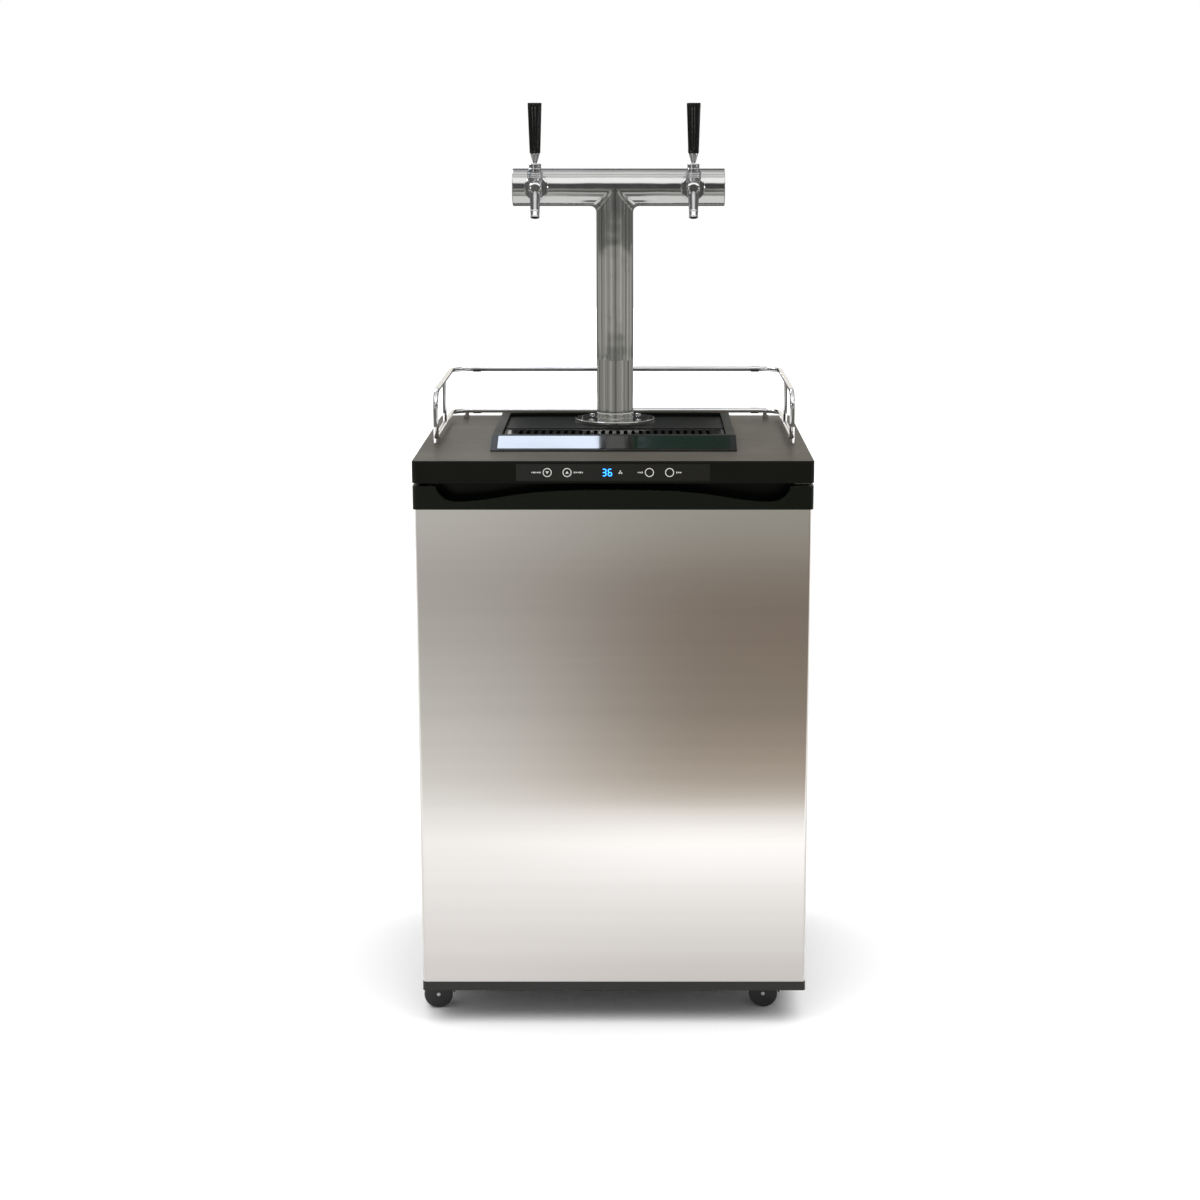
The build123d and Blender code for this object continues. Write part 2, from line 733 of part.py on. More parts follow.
tap_sides = {"left": tap_x[0], "right": tap_x[1]}
handle_bottom = bar_z + 55
handle_top = bar_z + 134
for tap_side, x in tap_sides.items():
    with BuildPart() as tap_lever:
        with Locations((x, tap_y, lever_pivot_z)):
            Sphere(6)
        with Locations((x, tap_y, lever_pivot_z - 8)):
            Cylinder(2, 9)
        with BuildSketch(Plane(origin=(x, tap_y, 0), x_dir=(1, 0, 0), z_dir=(0, -1, 0))):
            with BuildLine():
                Polyline(
                    (0, lever_pivot_z),
                    (3, lever_pivot_z),
                    (3, bar_z + 40),
                    (4.4, bar_z + 43.4),
                    (7.3, bar_z + 54),
                    (7.3, handle_bottom),
                    (4, handle_bottom),
                    (4, handle_bottom + 18),
                    (0, handle_bottom + 18),
                    close=True,
                )
            make_face()
        revolve(axis=Axis((x, tap_y, 0), (0, 0, 1)))
    save(tap_lever.part, f"tap_lever_{tap_side}")

    with BuildPart() as tap_handle:
        with BuildSketch(Plane(origin=(x, tap_y, 0), x_dir=(1, 0, 0), z_dir=(0, -1, 0))):
            with BuildLine():
                Polyline(
                    (4, handle_bottom),
                    (8.0, handle_bottom),
                    (8.7, handle_bottom + 3),
                    (11.6, handle_top - 2),
                    (10.4, handle_top),
                    (0, handle_top),
                    (0, handle_bottom + 18),
                    (4, handle_bottom + 18),
                    close=True,
                )
            make_face()
        revolve(axis=Axis((x, tap_y, 0), (0, 0, 1)))
        # Shallow flutes down the grip
        for flute in range(8):
            angle = radians(45 * flute + 22.5)
            foot = (x + 11.6 * cos(angle), tap_y + 11.6 * sin(angle), handle_bottom + 8)
            head = (x + 14.3 * cos(angle), tap_y + 14.3 * sin(angle), handle_top - 5)
            with BuildLine() as flute_line:
                Line(foot, head)
            with BuildSketch(Plane(origin=foot, z_dir=flute_line.line % 0)):
                Circle(3.2)
            sweep(path=flute_line.line, mode=Mode.SUBTRACT)
    save(tap_handle.part, f"tap_handle_{tap_side}")

    with BuildPart() as tap_shuttle:
        with BuildSketch(plane_along_y(x, tap_y + 9, bar_z)):
            Circle(3.6)
        extrude(amount=9 + 10)
        with BuildSketch(plane_along_y(x, tap_y - 10, bar_z)):
            Circle(6.1)
        extrude(amount=1.8)
        # Yoke that the lever tip pushes
        for near, far in ((-5.0, -2.7), (2.7, 4.6)):
            box_between((x - 3, tap_y + near, bar_z + 1), (x + 3, tap_y + far, bar_z + 23))
    save(tap_shuttle.part, f"tap_shuttle_{tap_side}")

# ---- Beer lines and what holds them ---------------------------------------------------
line_r = 4.0
line_in_column_x = 11.0
line_y = tower_y + 12
parked_x = 226.0
parked_y = chamber_back - 24
parked_top = 610.0
ceiling_run_z = 802.0
neck_z = parked_top - 7
line_clip_z = 706.0

with BuildPart() as beer_lines:
    for side in (-1, 1):
        route_points = (
            (side * tap_spacing / 2, shank_back, bar_z),
            (side * tap_spacing / 2, line_y + 2, bar_z),
            (side * line_in_column_x, line_y + 2, bar_z),
            (side * line_in_column_x, line_y, ceiling_run_z),
            (side * 120, line_y + 42, ceiling_run_z),
            (side * parked_x, parked_y, ceiling_run_z),
            (side * parked_x, parked_y, parked_top),
        )
        sweep_rod(route_points, (16, 30, 20, 60, 34), line_r, 2.5)
save(beer_lines.part, "beer_lines")

with BuildPart() as keg_disconnects:
    for side in (-1, 1):
        with BuildSketch(Plane(origin=(side * parked_x, parked_y, 0), x_dir=(1, 0, 0), z_dir=(0, -1, 0))):
            with BuildLine():
                Polyline(
                    (0, parked_top),
                    (5.5, parked_top),
                    (5.5, parked_top - 12),
                    (14, parked_top - 20),
                    (14, parked_top - 34),
                    (12.5, parked_top - 36),
                    (12.5, parked_top - 58),
                    (10, parked_top - 58),
                    (10, parked_top - 38),
                    (0, parked_top - 38),
                    close=True,
                )
            make_face()
        revolve(axis=Axis((side * parked_x, parked_y, 0), (0, 0, 1)))
save(keg_disconnects.part, "keg_disconnects")

with BuildPart() as line_clips:
    for side in (-1, 1):
        # Wall clip that parks the disconnect by its neck, and a clip on the line above it
        box_between(
            (side * parked_x - 9, parked_y + 3, neck_z - 3),
            (side * parked_x + 9, chamber_back, neck_z + 3),
        )
        with Locations((side * parked_x, parked_y, neck_z)):
            Cylinder(9, 6)
        box_between(
            (side * parked_x - 7, parked_y, line_clip_z - 6),
            (side * parked_x + 7, chamber_back, line_clip_z + 6),
        )
        with Locations((side * parked_x, parked_y, line_clip_z)):
            Cylinder(7, 12)
        with Locations((side * parked_x, parked_y, neck_z)):
            Cylinder(5.5, 8, mode=Mode.SUBTRACT)
        with Locations((side * parked_x, parked_y, line_clip_z)):
            Cylinder(line_r, 14, mode=Mode.SUBTRACT)
        # Snap-in mouths, narrower than what they hold
        box_between(
            (side * parked_x - 4.5, parked_y - 12, neck_z - 4),
            (side * parked_x + 4.5, parked_y, neck_z + 4),
            mode=Mode.SUBTRACT,
        )
        box_between(
            (side * parked_x - 3, parked_y - 12, line_clip_z - 7),
            (side * parked_x + 3, parked_y, line_clip_z + 7),
            mode=Mode.SUBTRACT,
        )
save(line_clips.part, "line_clips")

# ---- Cooling --------------------------------------------------------------------------
fan_x, fan_z, fan_half, fan_depth = 120.0, 742.0, 46.0, 26.0
fan_back = chamber_back
fan_throat_r = 41.0
motor_r = 14.0
spindle_r = 3.0
blade_count = 7
with BuildPart() as fan_housing:
    with BuildSketch(plane_along_y(fan_x, fan_back, fan_z)):
        RectangleRounded(2 * fan_half, 2 * fan_half, 6)
        Circle(fan_throat_r, mode=Mode.SUBTRACT)
    extrude(amount=fan_depth)
    # Motor hub carried on four arms at the back, with a spindle for the rotor
    with BuildSketch(plane_along_y(fan_x, fan_back, fan_z)):
        Circle(motor_r)
        Rectangle(2 * fan_throat_r + 2, 5)
        Rectangle(5, 2 * fan_throat_r + 2)
    extrude(amount=4)
    with BuildSketch(plane_along_y(fan_x, fan_back, fan_z)):
        Circle(spindle_r)
    extrude(amount=fan_depth - 5)
    # Finger guard: rings on the four arms at the front
    with BuildSketch(plane_along_y(fan_x, fan_back - fan_depth, fan_z)):
        for ring_r in (12, 20, 28, 36):
            with BuildSketch(mode=Mode.PRIVATE) as ring:
                Circle(ring_r + 1)
                Circle(ring_r - 1, mode=Mode.SUBTRACT)
            add(ring.sketch)
        Rectangle(88, 2.4)
        Rectangle(2.4, 88)
    extrude(amount=2)
save(fan_housing.part, "fan_housing")

with BuildPart() as fan_rotor:
    with BuildSketch(plane_along_y(fan_x, fan_back - 5, fan_z)):
        Circle(motor_r + 1)
        Circle(spindle_r + running, mode=Mode.SUBTRACT)
    extrude(amount=18)
    for blade in range(blade_count):
        angle = 360 / blade_count * blade
        blade_plane = Plane(
            origin=(
                fan_x + motor_r * cos(radians(angle)),
                fan_back - 14,
                fan_z + motor_r * sin(radians(angle)),
            ),
            x_dir=(0, -1, 0),
            z_dir=(cos(radians(angle)), 0, sin(radians(angle))),
        )
        with BuildSketch(blade_plane):
            with Locations(Rotation(0, 0, 38)):
                Rectangle(18, 1.8)
        extrude(amount=25)
save(fan_rotor.part, "fan_rotor")

spacer = 9.0
plate_y = chamber_back - spacer
plate_half = 190.0
plate_low, plate_high = 350.0, 670.0
channel_half = 160.0
channel_pitch = 43.0
channel_passes = 7
with BuildPart() as evaporator_plate:
    box_between((-plate_half, plate_y, plate_low), (plate_half, plate_y + 1.6, plate_high))
    # Raised refrigerant channel, pressed into the plate in even passes
    channel = []
    for level in range(channel_passes):
        channel_z = plate_low + 30 + channel_pitch * level
        ends = (-channel_half, channel_half) if level % 2 == 0 else (channel_half, -channel_half)
        channel += [(end, plate_y, channel_z) for end in ends]
    sweep_rod(channel, [20] * (len(channel) - 2), 4)
    for spacer_x in (20 - plate_half, plate_half - 20):
        for spacer_z in (plate_low + 12, plate_high - 12):
            with BuildSketch(plane_along_y(spacer_x, chamber_back, spacer_z)):
                Circle(6)
            extrude(amount=spacer)
save(evaporator_plate.part, "evaporator_plate")

with BuildPart() as floor_plate:
    box_between(
        (-chamber_half + 4, cabinet_front + 8, chamber_floor),
        (chamber_half - 4, step_front - 4, chamber_floor + 1.5),
    )
    fillet(floor_plate.edges().filter_by(Axis.Z), 10)
save(floor_plate.part, "floor_plate")

compressor_x, compressor_y = -70.0, bay_front + 84
foot_x, foot_y = 70.0, 45.0
foot_height = 12.0
feet_plate_z = castor_height + 2 + foot_height
shell_r = 62.0
shell_height = 132.0
with BuildPart() as compressor:
    # Steel feet plate on four grommets, welded shell, and the terminal box on its side
    with Locations((compressor_x, compressor_y, feet_plate_z - foot_height / 2)):
        with GridLocations(2 * foot_x, 2 * foot_y, 2, 2):
            Cylinder(10, foot_height)
    box_between(
        (compressor_x - foot_x - 12, compressor_y - foot_y - 11, feet_plate_z),
        (compressor_x + foot_x + 12, compressor_y + foot_y + 11, feet_plate_z + 3),
    )
    with Locations((compressor_x, compressor_y, feet_plate_z + 2 + shell_height / 2)):
        Cylinder(shell_r, shell_height)
    fillet(compressor.edges().filter_by(GeomType.CIRCLE).group_by(Axis.Z)[-1], 30)
    box_between(
        (compressor_x + shell_r - 10, compressor_y - 28, feet_plate_z + 26),
        (compressor_x + shell_r + 24, compressor_y + 28, feet_plate_z + 82),
    )
save(compressor.part, "compressor")

coil_y = overall_depth / 2 - 5.7
coil_rows = 9
coil_bottom, coil_pitch = 350.0, 56.0
coil_top = coil_bottom + coil_pitch * (coil_rows - 1)
coil_half = 235.0
coil_bend = 26.0
wire_count = 12
wire_pitch = 36.0
pipe_r = 3.0
with BuildPart() as condenser:
    coil_points = []
    for row in range(coil_rows):
        row_z = coil_bottom + coil_pitch * row
        ends = (-coil_half, coil_half) if row % 2 == 0 else (coil_half, -coil_half)
        coil_points += [(end, coil_y, row_z) for end in ends]
    sweep_rod(coil_points, [coil_bend] * (len(coil_points) - 2), pipe_r)
    with Locations((0, overall_depth / 2 - 1.5, (coil_bottom + coil_top) / 2)):
        with GridLocations(wire_pitch, 1, wire_count, 1):
            Cylinder(1.5, coil_top - coil_bottom + 20)
    # Stand-off brackets on the rear panel
    for bracket_x in (13 - coil_half, coil_half - 13):
        for bracket_z in (coil_bottom, coil_top):
            box_between(
                (bracket_x - 5, cabinet_back, bracket_z - 8),
                (bracket_x + 5, coil_y, bracket_z + 8),
            )
save(condenser.part, "condenser")

port_x = 20.0
port_z = castor_height + 100
drier_x, drier_y = 150.0, compressor_y + 75
riser_x = coil_half + 17
with BuildPart() as refrigerant_pipes:
    discharge = (
        (compressor_x - port_x, compressor_y + shell_r - 1, port_z),
        (compressor_x - port_x, cabinet_back + 8, port_z),
        (-riser_x, cabinet_back + 8, port_z + 50),
        (-riser_x, coil_y, coil_bottom),
        (-coil_half, coil_y, coil_bottom),
    )
    sweep_rod(discharge, (12, 20, 8), pipe_r)
    suction = (
        (compressor_x + port_x, compressor_y + shell_r - 1, port_z),
        (compressor_x + port_x, drier_y, port_z),
        (drier_x, drier_y, port_z + 50),
        (drier_x, drier_y, bay_ceiling - 3),
    )
    sweep_rod(suction, (8, 25), pipe_r)
    # Drier on the suction side
    with Locations((drier_x, drier_y, port_z + 70)):
        Cylinder(9, 40)
save(refrigerant_pipes.part, "refrigerant_pipes")

# ---- Services through the rear wall ---------------------------------------------------
with BuildPart() as gas_grommet:
    with BuildSketch(plane_along_y(gas_port_x, cabinet_back, gas_port_z)):
        Circle(gas_port_r)
        Circle(gas_port_r - 2, mode=Mode.SUBTRACT)
    extrude(amount=cabinet_back - chamber_back)
    with BuildSketch(plane_along_y(gas_port_x, cabinet_back + 3, gas_port_z)):
        Circle(gas_port_r + 5)
        Circle(gas_port_r - 2, mode=Mode.SUBTRACT)
    extrude(amount=3)
    with BuildSketch(plane_along_y(gas_port_x, chamber_back, gas_port_z)):
        Circle(gas_port_r + 5)
        Circle(gas_port_r - 2, mode=Mode.SUBTRACT)
    extrude(amount=3)
save(gas_grommet.part, "gas_grommet")

with BuildPart() as power_inlet:
    # Appliance inlet: flanged shell with a socket and three pins, open to the rear
    with BuildSketch(plane_along_y(inlet_x, cabinet_back, inlet_z)):
        Rectangle(inlet_width, inlet_height)
    extrude(amount=30)
    with BuildSketch(plane_along_y(inlet_x, cabinet_back + 2.5, inlet_z)):
        RectangleRounded(inlet_width + 10, inlet_height + 6, 4)
    extrude(amount=2.5)
    with BuildSketch(plane_along_y(inlet_x, cabinet_back + 2.5, inlet_z)):
        RectangleRounded(25, 17, 3)
    extrude(amount=20, mode=Mode.SUBTRACT)
    for pin_x, pin_z in ((-7, -2), (0, 3), (7, -2)):
        with BuildSketch(plane_along_y(inlet_x + pin_x, cabinet_back - 1, inlet_z + pin_z)):
            Rectangle(2, 4)
        extrude(amount=18)
save(power_inlet.part, "power_inlet")

# ---- Castors --------------------------------------------------------------------------
plate_thickness = 3.0
hood_top = castor_height - plate_thickness - 0.4
stem_r = 4.0
wheel_outer = 17.5
wheel_width = 10.5
fender_half = 18.5
stem_foot = 27.0
with BuildPart() as castor_plates:
    for castor_x0, castor_y0, _ in castor_headings.values():
        with BuildSketch(Plane.XY.offset(castor_height - plate_thickness)):
            with Locations((castor_x0, castor_y0)):
                RectangleRounded(50, 50, 5)
        extrude(amount=plate_thickness)
        with Locations((castor_x0, castor_y0, (castor_height - 1 + stem_foot) / 2)):
            Cylinder(stem_r, castor_height - 1 - stem_foot)
save(castor_plates.part, "castor_plates")

for castor_name, (axis_x, axis_y, heading) in castor_headings.items():
    run = (cos(radians(heading)), sin(radians(heading)), 0)
    axle = (run[1], -run[0], 0)
    centre = (axis_x + trail * run[0], axis_y + trail * run[1], wheel_r)
    wheel_plane = Plane(origin=centre, x_dir=run, z_dir=axle)

    with BuildPart() as castor_hood:
        # Web between the wheels, with the boss that turns on the stem
        with BuildSketch(wheel_plane.offset(-5.5)):
            Circle(8)
            with Locations((-trail / 2, 9)):
                Rectangle(trail + 6, 16)
            with Locations((-3, 20)):
                Rectangle(24, 10)
        extrude(amount=11)
        with BuildSketch(Plane.XY.offset(25)):
            with Locations((axis_x, axis_y)):
                Circle(6.4)
        extrude(amount=hood_top - 25)
        # Fender arched over both wheels
        with BuildSketch(wheel_plane.offset(-fender_half)):
            with BuildLine():
                outer = CenterArc((0, 0), wheel_r + 4, 38, 134)
                inner = CenterArc((0, 0), wheel_r + 1.6, 38, 134)
                Line(outer @ 0, inner @ 0)
                Line(outer @ 1, inner @ 1)
            make_face()
        extrude(amount=2 * fender_half)
        with Locations((axis_x, axis_y, castor_height / 2)):
            Cylinder(stem_r + running, castor_height, mode=Mode.SUBTRACT)
        with BuildSketch(wheel_plane.offset(-8)):
            Circle(3 + running)
        extrude(amount=16, mode=Mode.SUBTRACT)
    save(castor_hood.part, f"castor_hood_{castor_name}")

    with BuildPart() as castor_wheels:
        with BuildSketch(wheel_plane.offset(-wheel_outer)):
            Circle(3)
        extrude(amount=2 * wheel_outer)
        for near in (-wheel_outer, wheel_outer - wheel_width):
            with BuildSketch(wheel_plane.offset(near)):
                Circle(wheel_r)
            extrude(amount=wheel_width)
        rims = castor_wheels.edges().filter_by(GeomType.CIRCLE).sort_by(SortBy.RADIUS)[-4:]
        fillet(rims, 3)
    save(castor_wheels.part, f"castor_wheels_{castor_name}")

# ---- Hinges and screws ----------------------------------------------------------------
upper_plate_z = skirt_bottom - 3
lower_plate_z = door_bottom - 5
with BuildPart() as hinge_brackets:
    box_between(
        (hinge_x - 14, hinge_y - 12, upper_plate_z), (hinge_x + 9, cabinet_front - 3, skirt_bottom)
    )
    with Locations((hinge_x, hinge_y, upper_plate_z - 6)):
        Cylinder(pin_r, 12)
    box_between(
        (hinge_x - 14, hinge_y - 12, lower_plate_z),
        (hinge_x + 9, cabinet_front, lower_plate_z + 3),
    )
    box_between(
        (hinge_x - 14, cabinet_front - 3, lower_plate_z),
        (hinge_x + 9, cabinet_front, lower_plate_z + 22),
    )
    with Locations((hinge_x, hinge_y, lower_plate_z + 3 + 6)):
        Cylinder(pin_r, 12)
save(hinge_brackets.part, "hinge_brackets")

with BuildPart() as fixing_screws:
    # Flange screws down into the plinth
    with Locations((0, tower_y, flange_top)):
        with PolarLocations(flange_bolt_r, 4, start_angle=45):
            with Locations((0, 0, 1.2)):
                Cylinder(4.4, 2.4)
    fillet(fixing_screws.edges().filter_by(GeomType.CIRCLE).group_by(Axis.Z)[-1], 1.4)
    with Locations((0, tower_y, (flange_top + deck_top + plinth_height) / 2)):
        with PolarLocations(flange_bolt_r, 4, start_angle=45):
            Cylinder(2.5, flange_top - deck_top - plinth_height)
    # Lower hinge screws, heads towards the door
    for screw_x in (hinge_x - 8, hinge_x + 3):
        with BuildSketch(plane_along_y(screw_x, cabinet_front - 3, lower_plate_z + 13)):
            Circle(3)
        extrude(amount=1.6)
    # Upper hinge screws, heads down
    for screw_x in (hinge_x - 8, hinge_x + 3):
        with Locations((screw_x, cabinet_front - 8, upper_plate_z - 0.5)):
            Cylinder(2.6, 1)
save(fixing_screws.part, "fixing_screws")

# ---- Door -----------------------------------------------------------------------------
skin_front = front_y + 2
panel_front = door_back - panel_wall
with BuildPart() as door_skin:
    with BuildSketch(Plane.XY.offset(trim_top)):
        with BuildLine():
            FilletPolyline(
                (-door_half, panel_front),
                (-door_half, skin_front),
                (door_half, skin_front),
                (door_half, panel_front),
                radius=5,
            )
            FilletPolyline(
                (-door_half + sheet, panel_front),
                (-door_half + sheet, skin_front + sheet),
                (door_half - sheet, skin_front + sheet),
                (door_half - sheet, panel_front),
                radius=4,
            )
            Line((-door_half, panel_front), (-door_half + sheet, panel_front))
            Line((door_half, panel_front), (door_half - sheet, panel_front))
        make_face()
    extrude(amount=cap_bottom - trim_top)
save(door_skin.part, "door_skin")

with BuildPart() as door_foam:
    with BuildSketch(Plane.XY.offset(trim_top)):
        with BuildLine():
            FilletPolyline(
                (-door_half + sheet, panel_front),
                (-door_half + sheet, skin_front + sheet),
                (door_half - sheet, skin_front + sheet),
                (door_half - sheet, panel_front),
                radius=4,
            )
            Line((-door_half + sheet, panel_front), (door_half - sheet, panel_front))
        make_face()
    extrude(amount=cap_bottom - trim_top)
save(door_foam.part, "door_foam")

dyke_half = 243.0
dyke_low, dyke_high = chamber_floor + 12, chamber_ceiling - 12
with BuildPart() as door_inner_panel:
    box_between(
        (-door_half, panel_front, door_bottom + 2), (door_half, door_back, cap_top - 2)
    )
    # Raised dyke round a flat field, standing into the chamber's mouth
    dyke_plane = Plane(origin=(0, door_back, (dyke_low + dyke_high) / 2), x_dir=(1, 0, 0), z_dir=(0, 1, 0))
    with BuildSketch(dyke_plane):
        RectangleRounded(2 * dyke_half, dyke_high - dyke_low, 18)
        RectangleRounded(2 * dyke_half - 44, dyke_high - dyke_low - 44, 12, mode=Mode.SUBTRACT)
    extrude(amount=15)
    fillet(door_inner_panel.faces().sort_by(Axis.Y)[-1].edges(), 5)
save(door_inner_panel.part, "door_inner_panel")

gasket_low, gasket_high = door_bottom + 20, cap_top - 12.5
gasket_half = 287.0
gasket_width = 21.0
magnet_width = 15.0
gasket_height = gasket_high - gasket_low
with BuildPart() as door_gasket:
    # Wide foot against the panel and the narrower tube that holds the magnet
    gasket_plane = Plane(
        origin=(0, door_back, (gasket_low + gasket_high) / 2), x_dir=(1, 0, 0), z_dir=(0, 1, 0)
    )
    for band, band_depth in ((gasket_width, 3), (magnet_width, 7.6)):
        inset = (gasket_width - band) / 2
        with BuildSketch(gasket_plane):
            RectangleRounded(2 * (gasket_half - inset), gasket_height - 2 * inset, 8 - inset)
            RectangleRounded(
                2 * (gasket_half - inset - band),
                gasket_height - 2 * (inset + band),
                5,
                mode=Mode.SUBTRACT,
            )
        extrude(amount=band_depth)
save(door_gasket.part, "door_gasket")

grip_half = 268.0
cap_half = 304.5
wave_depth = 24.0
wave_low_x = 238.0
wave_mid_x = 148.0
wave_rise = 6.0
lip_thickness = 8.0
with BuildPart() as door_handle_cap:
    with BuildSketch(Plane.XY.offset(cap_bottom)):
        with Locations((0, (front_y + panel_front) / 2)):
            RectangleRounded(2 * cap_half, panel_front - front_y, 7)
    extrude(amount=cap_top - cap_bottom)
    # Finger pocket behind the front lip, open at the top
    box_between(
        (-grip_half, front_y + lip_thickness, cap_bottom + 4),
        (grip_half, panel_front - 6, cap_top + 1),
        mode=Mode.SUBTRACT,
    )
    # The lip dips at both ends and rises in a long wave to the middle
    with BuildSketch(Plane(origin=(0, front_y - 1, cap_top), x_dir=(1, 0, 0), z_dir=(0, 1, 0))):
        with BuildLine():
            for side in (-1, 1):
                Spline(
                    (side * wave_low_x, wave_depth),
                    (side * wave_mid_x, (wave_depth + wave_rise) / 2 - 1.7),
                    (0, wave_rise),
                    tangents=((-side, 0), (-side, 0)),
                )
                Spline(
                    (side * wave_low_x, wave_depth),
                    (side * (grip_half - 7), wave_depth - 9),
                    (side * (grip_half + 2), -2),
                    tangents=((side, 0), (side * 0.2, -1)),
                )
            Line((-grip_half - 2, -2), (grip_half + 2, -2))
        make_face()
    extrude(amount=lip_thickness + 2, mode=Mode.SUBTRACT)
    with Locations((hinge_x, hinge_y, cap_top - 6)):
        Cylinder(pin_r + running, 14, mode=Mode.SUBTRACT)
save(door_handle_cap.part, "door_handle_cap")

with BuildPart() as door_bottom_trim:
    with BuildSketch(Plane.XY.offset(door_bottom)):
        with Locations((0, (front_y + 1 + panel_front) / 2)):
            RectangleRounded(2 * door_half + 1, panel_front - front_y - 1, 5)
    extrude(amount=trim_top - door_bottom)
    with Locations((hinge_x, hinge_y, door_bottom + 5)):
        Cylinder(pin_r + running, 14, mode=Mode.SUBTRACT)
save(door_bottom_trim.part, "door_bottom_trim")
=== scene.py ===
"""Kegerator: finishes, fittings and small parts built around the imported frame.

Metres, in the frame's own axes: +X to the right, -Y out of the door, +Z up. Places come from
the frame's boxes, and the sizes and colours that a user would change are in the sidebar panel.
"""

import json
from math import cos, pi, radians, sin, sqrt

import bmesh
import bpy
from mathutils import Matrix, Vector


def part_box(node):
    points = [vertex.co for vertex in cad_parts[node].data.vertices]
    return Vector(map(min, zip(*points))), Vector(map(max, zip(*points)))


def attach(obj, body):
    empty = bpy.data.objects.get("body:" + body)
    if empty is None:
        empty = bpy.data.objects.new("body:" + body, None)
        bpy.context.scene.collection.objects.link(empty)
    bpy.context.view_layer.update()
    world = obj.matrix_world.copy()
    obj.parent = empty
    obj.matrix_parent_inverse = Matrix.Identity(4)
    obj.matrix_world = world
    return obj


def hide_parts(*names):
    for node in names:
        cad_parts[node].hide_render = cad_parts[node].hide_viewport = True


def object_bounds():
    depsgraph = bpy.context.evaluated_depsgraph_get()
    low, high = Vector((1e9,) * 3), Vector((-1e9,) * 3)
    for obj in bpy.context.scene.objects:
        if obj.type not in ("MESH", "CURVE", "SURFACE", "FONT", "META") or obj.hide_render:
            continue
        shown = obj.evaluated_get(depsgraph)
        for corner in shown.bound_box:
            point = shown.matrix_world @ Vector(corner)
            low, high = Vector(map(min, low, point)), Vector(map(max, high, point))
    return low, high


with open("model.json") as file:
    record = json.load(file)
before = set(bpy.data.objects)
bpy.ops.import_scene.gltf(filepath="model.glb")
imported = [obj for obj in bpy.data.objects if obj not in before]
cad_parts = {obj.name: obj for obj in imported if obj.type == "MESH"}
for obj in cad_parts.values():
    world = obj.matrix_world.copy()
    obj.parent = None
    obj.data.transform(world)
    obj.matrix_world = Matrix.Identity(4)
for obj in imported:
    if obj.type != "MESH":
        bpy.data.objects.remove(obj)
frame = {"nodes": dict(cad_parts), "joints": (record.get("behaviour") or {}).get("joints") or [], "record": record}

CAD_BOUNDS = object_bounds()

bl_info = {
    "name": "Kegerator",
    "version": (1, 0, 0),
    "blender": (4, 5, 0),
    "location": "View3D > Sidebar > Kegerator",
    "description": "Builds the finishes and small parts of a two-tap kegerator round its frame",
    "category": "Add Mesh",
}

# ---- Places taken from the frame
MM = 0.001
TINY = 0.1 * MM
LOW, HIGH = Vector(CAD_BOUNDS[0]), Vector(CAD_BOUNDS[1])
TAP_SIDES = ("left", "right")
CASTORS = ("front_left", "front_right", "rear_left", "rear_right")


def centre(node):
    """Middle of a node's box."""
    low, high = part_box(node)
    return (low + high) / 2


PANEL_LOW, PANEL_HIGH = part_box("control_panel")
TEE_LOW, TEE_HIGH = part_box("tower_tee")
FLANGE_LOW, FLANGE_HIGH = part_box("tower_flange")
TUBE_R = (TEE_HIGH.y - TEE_LOW.y) / 2
TOWER_Y = (TEE_HIGH.y + TEE_LOW.y) / 2
BAR_Z = TEE_HIGH.z - TUBE_R
CABINET_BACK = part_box("side_panels")[1].y
REAR_LOW, REAR_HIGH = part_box("rear_panel")
TRAY_RIM_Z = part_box("tray_front_strip")[0].z
COLLAR_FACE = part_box("shank_collars")[0].y


# ---- Settings
def number(name, text, default, **limits):
    """A settings number."""
    return bpy.props.FloatProperty(name=name, description=text, default=default, **limits)


def length(name, text, default):
    """A settings length in metres."""
    return number(name, text, default, unit="LENGTH")


def colour(name, text, default):
    """A settings colour without alpha."""
    return bpy.props.FloatVectorProperty(
        name=name, description=text, default=default, subtype="COLOR", size=3, min=0, max=1
    )


def count(name, text, default, low, high=999):
    """A settings whole number."""
    return bpy.props.IntProperty(name=name, description=text, default=default, min=low, max=high)


class StageSettings(bpy.types.PropertyGroup):
    camera_height: length("Camera height", "Height of the lens above the floor", 1.410)
    camera_distance: length("Camera distance", "From the lens to the door's face", 3.523)
    camera_side: length("Camera side step", "Sideways place of the lens", 0.036)
    camera_shift: number(
        "Camera shift", "Sideways shift of the view, in widths of the picture", -0.0307
    )
    camera_pitch: number(
        "Camera pitch", "How far the camera looks down", radians(11.6), subtype="ANGLE"
    )
    focal_length: number("Focal length", "Lens in millimetres on a 36 mm sensor", 70.6)
    floor_colour: colour("Floor", "Pale floor under the cabinet", (0.98, 0.98, 0.98))
    key_power: number("Key light", "Strength of the overhead light", 2.6)
    fill: number("Fill", "Strength of the light from all round", 0.62, min=0, max=5)


class CabinetSettings(bpy.types.PropertyGroup):
    steel: colour("Door steel", "Brushed stainless door skin", (0.60, 0.585, 0.56))
    plastic: colour("Black plastic", "Deck, caps and trims", (0.006, 0.006, 0.0045))
    liner: colour("Liner", "White moulded chamber", (0.80, 0.81, 0.80))
    enamel: colour("Enamel", "Painted steel sides", (0.022, 0.022, 0.023))
    screw_radius: length("Screw head", "Radius of the panel screws' heads", 3.6 * MM)


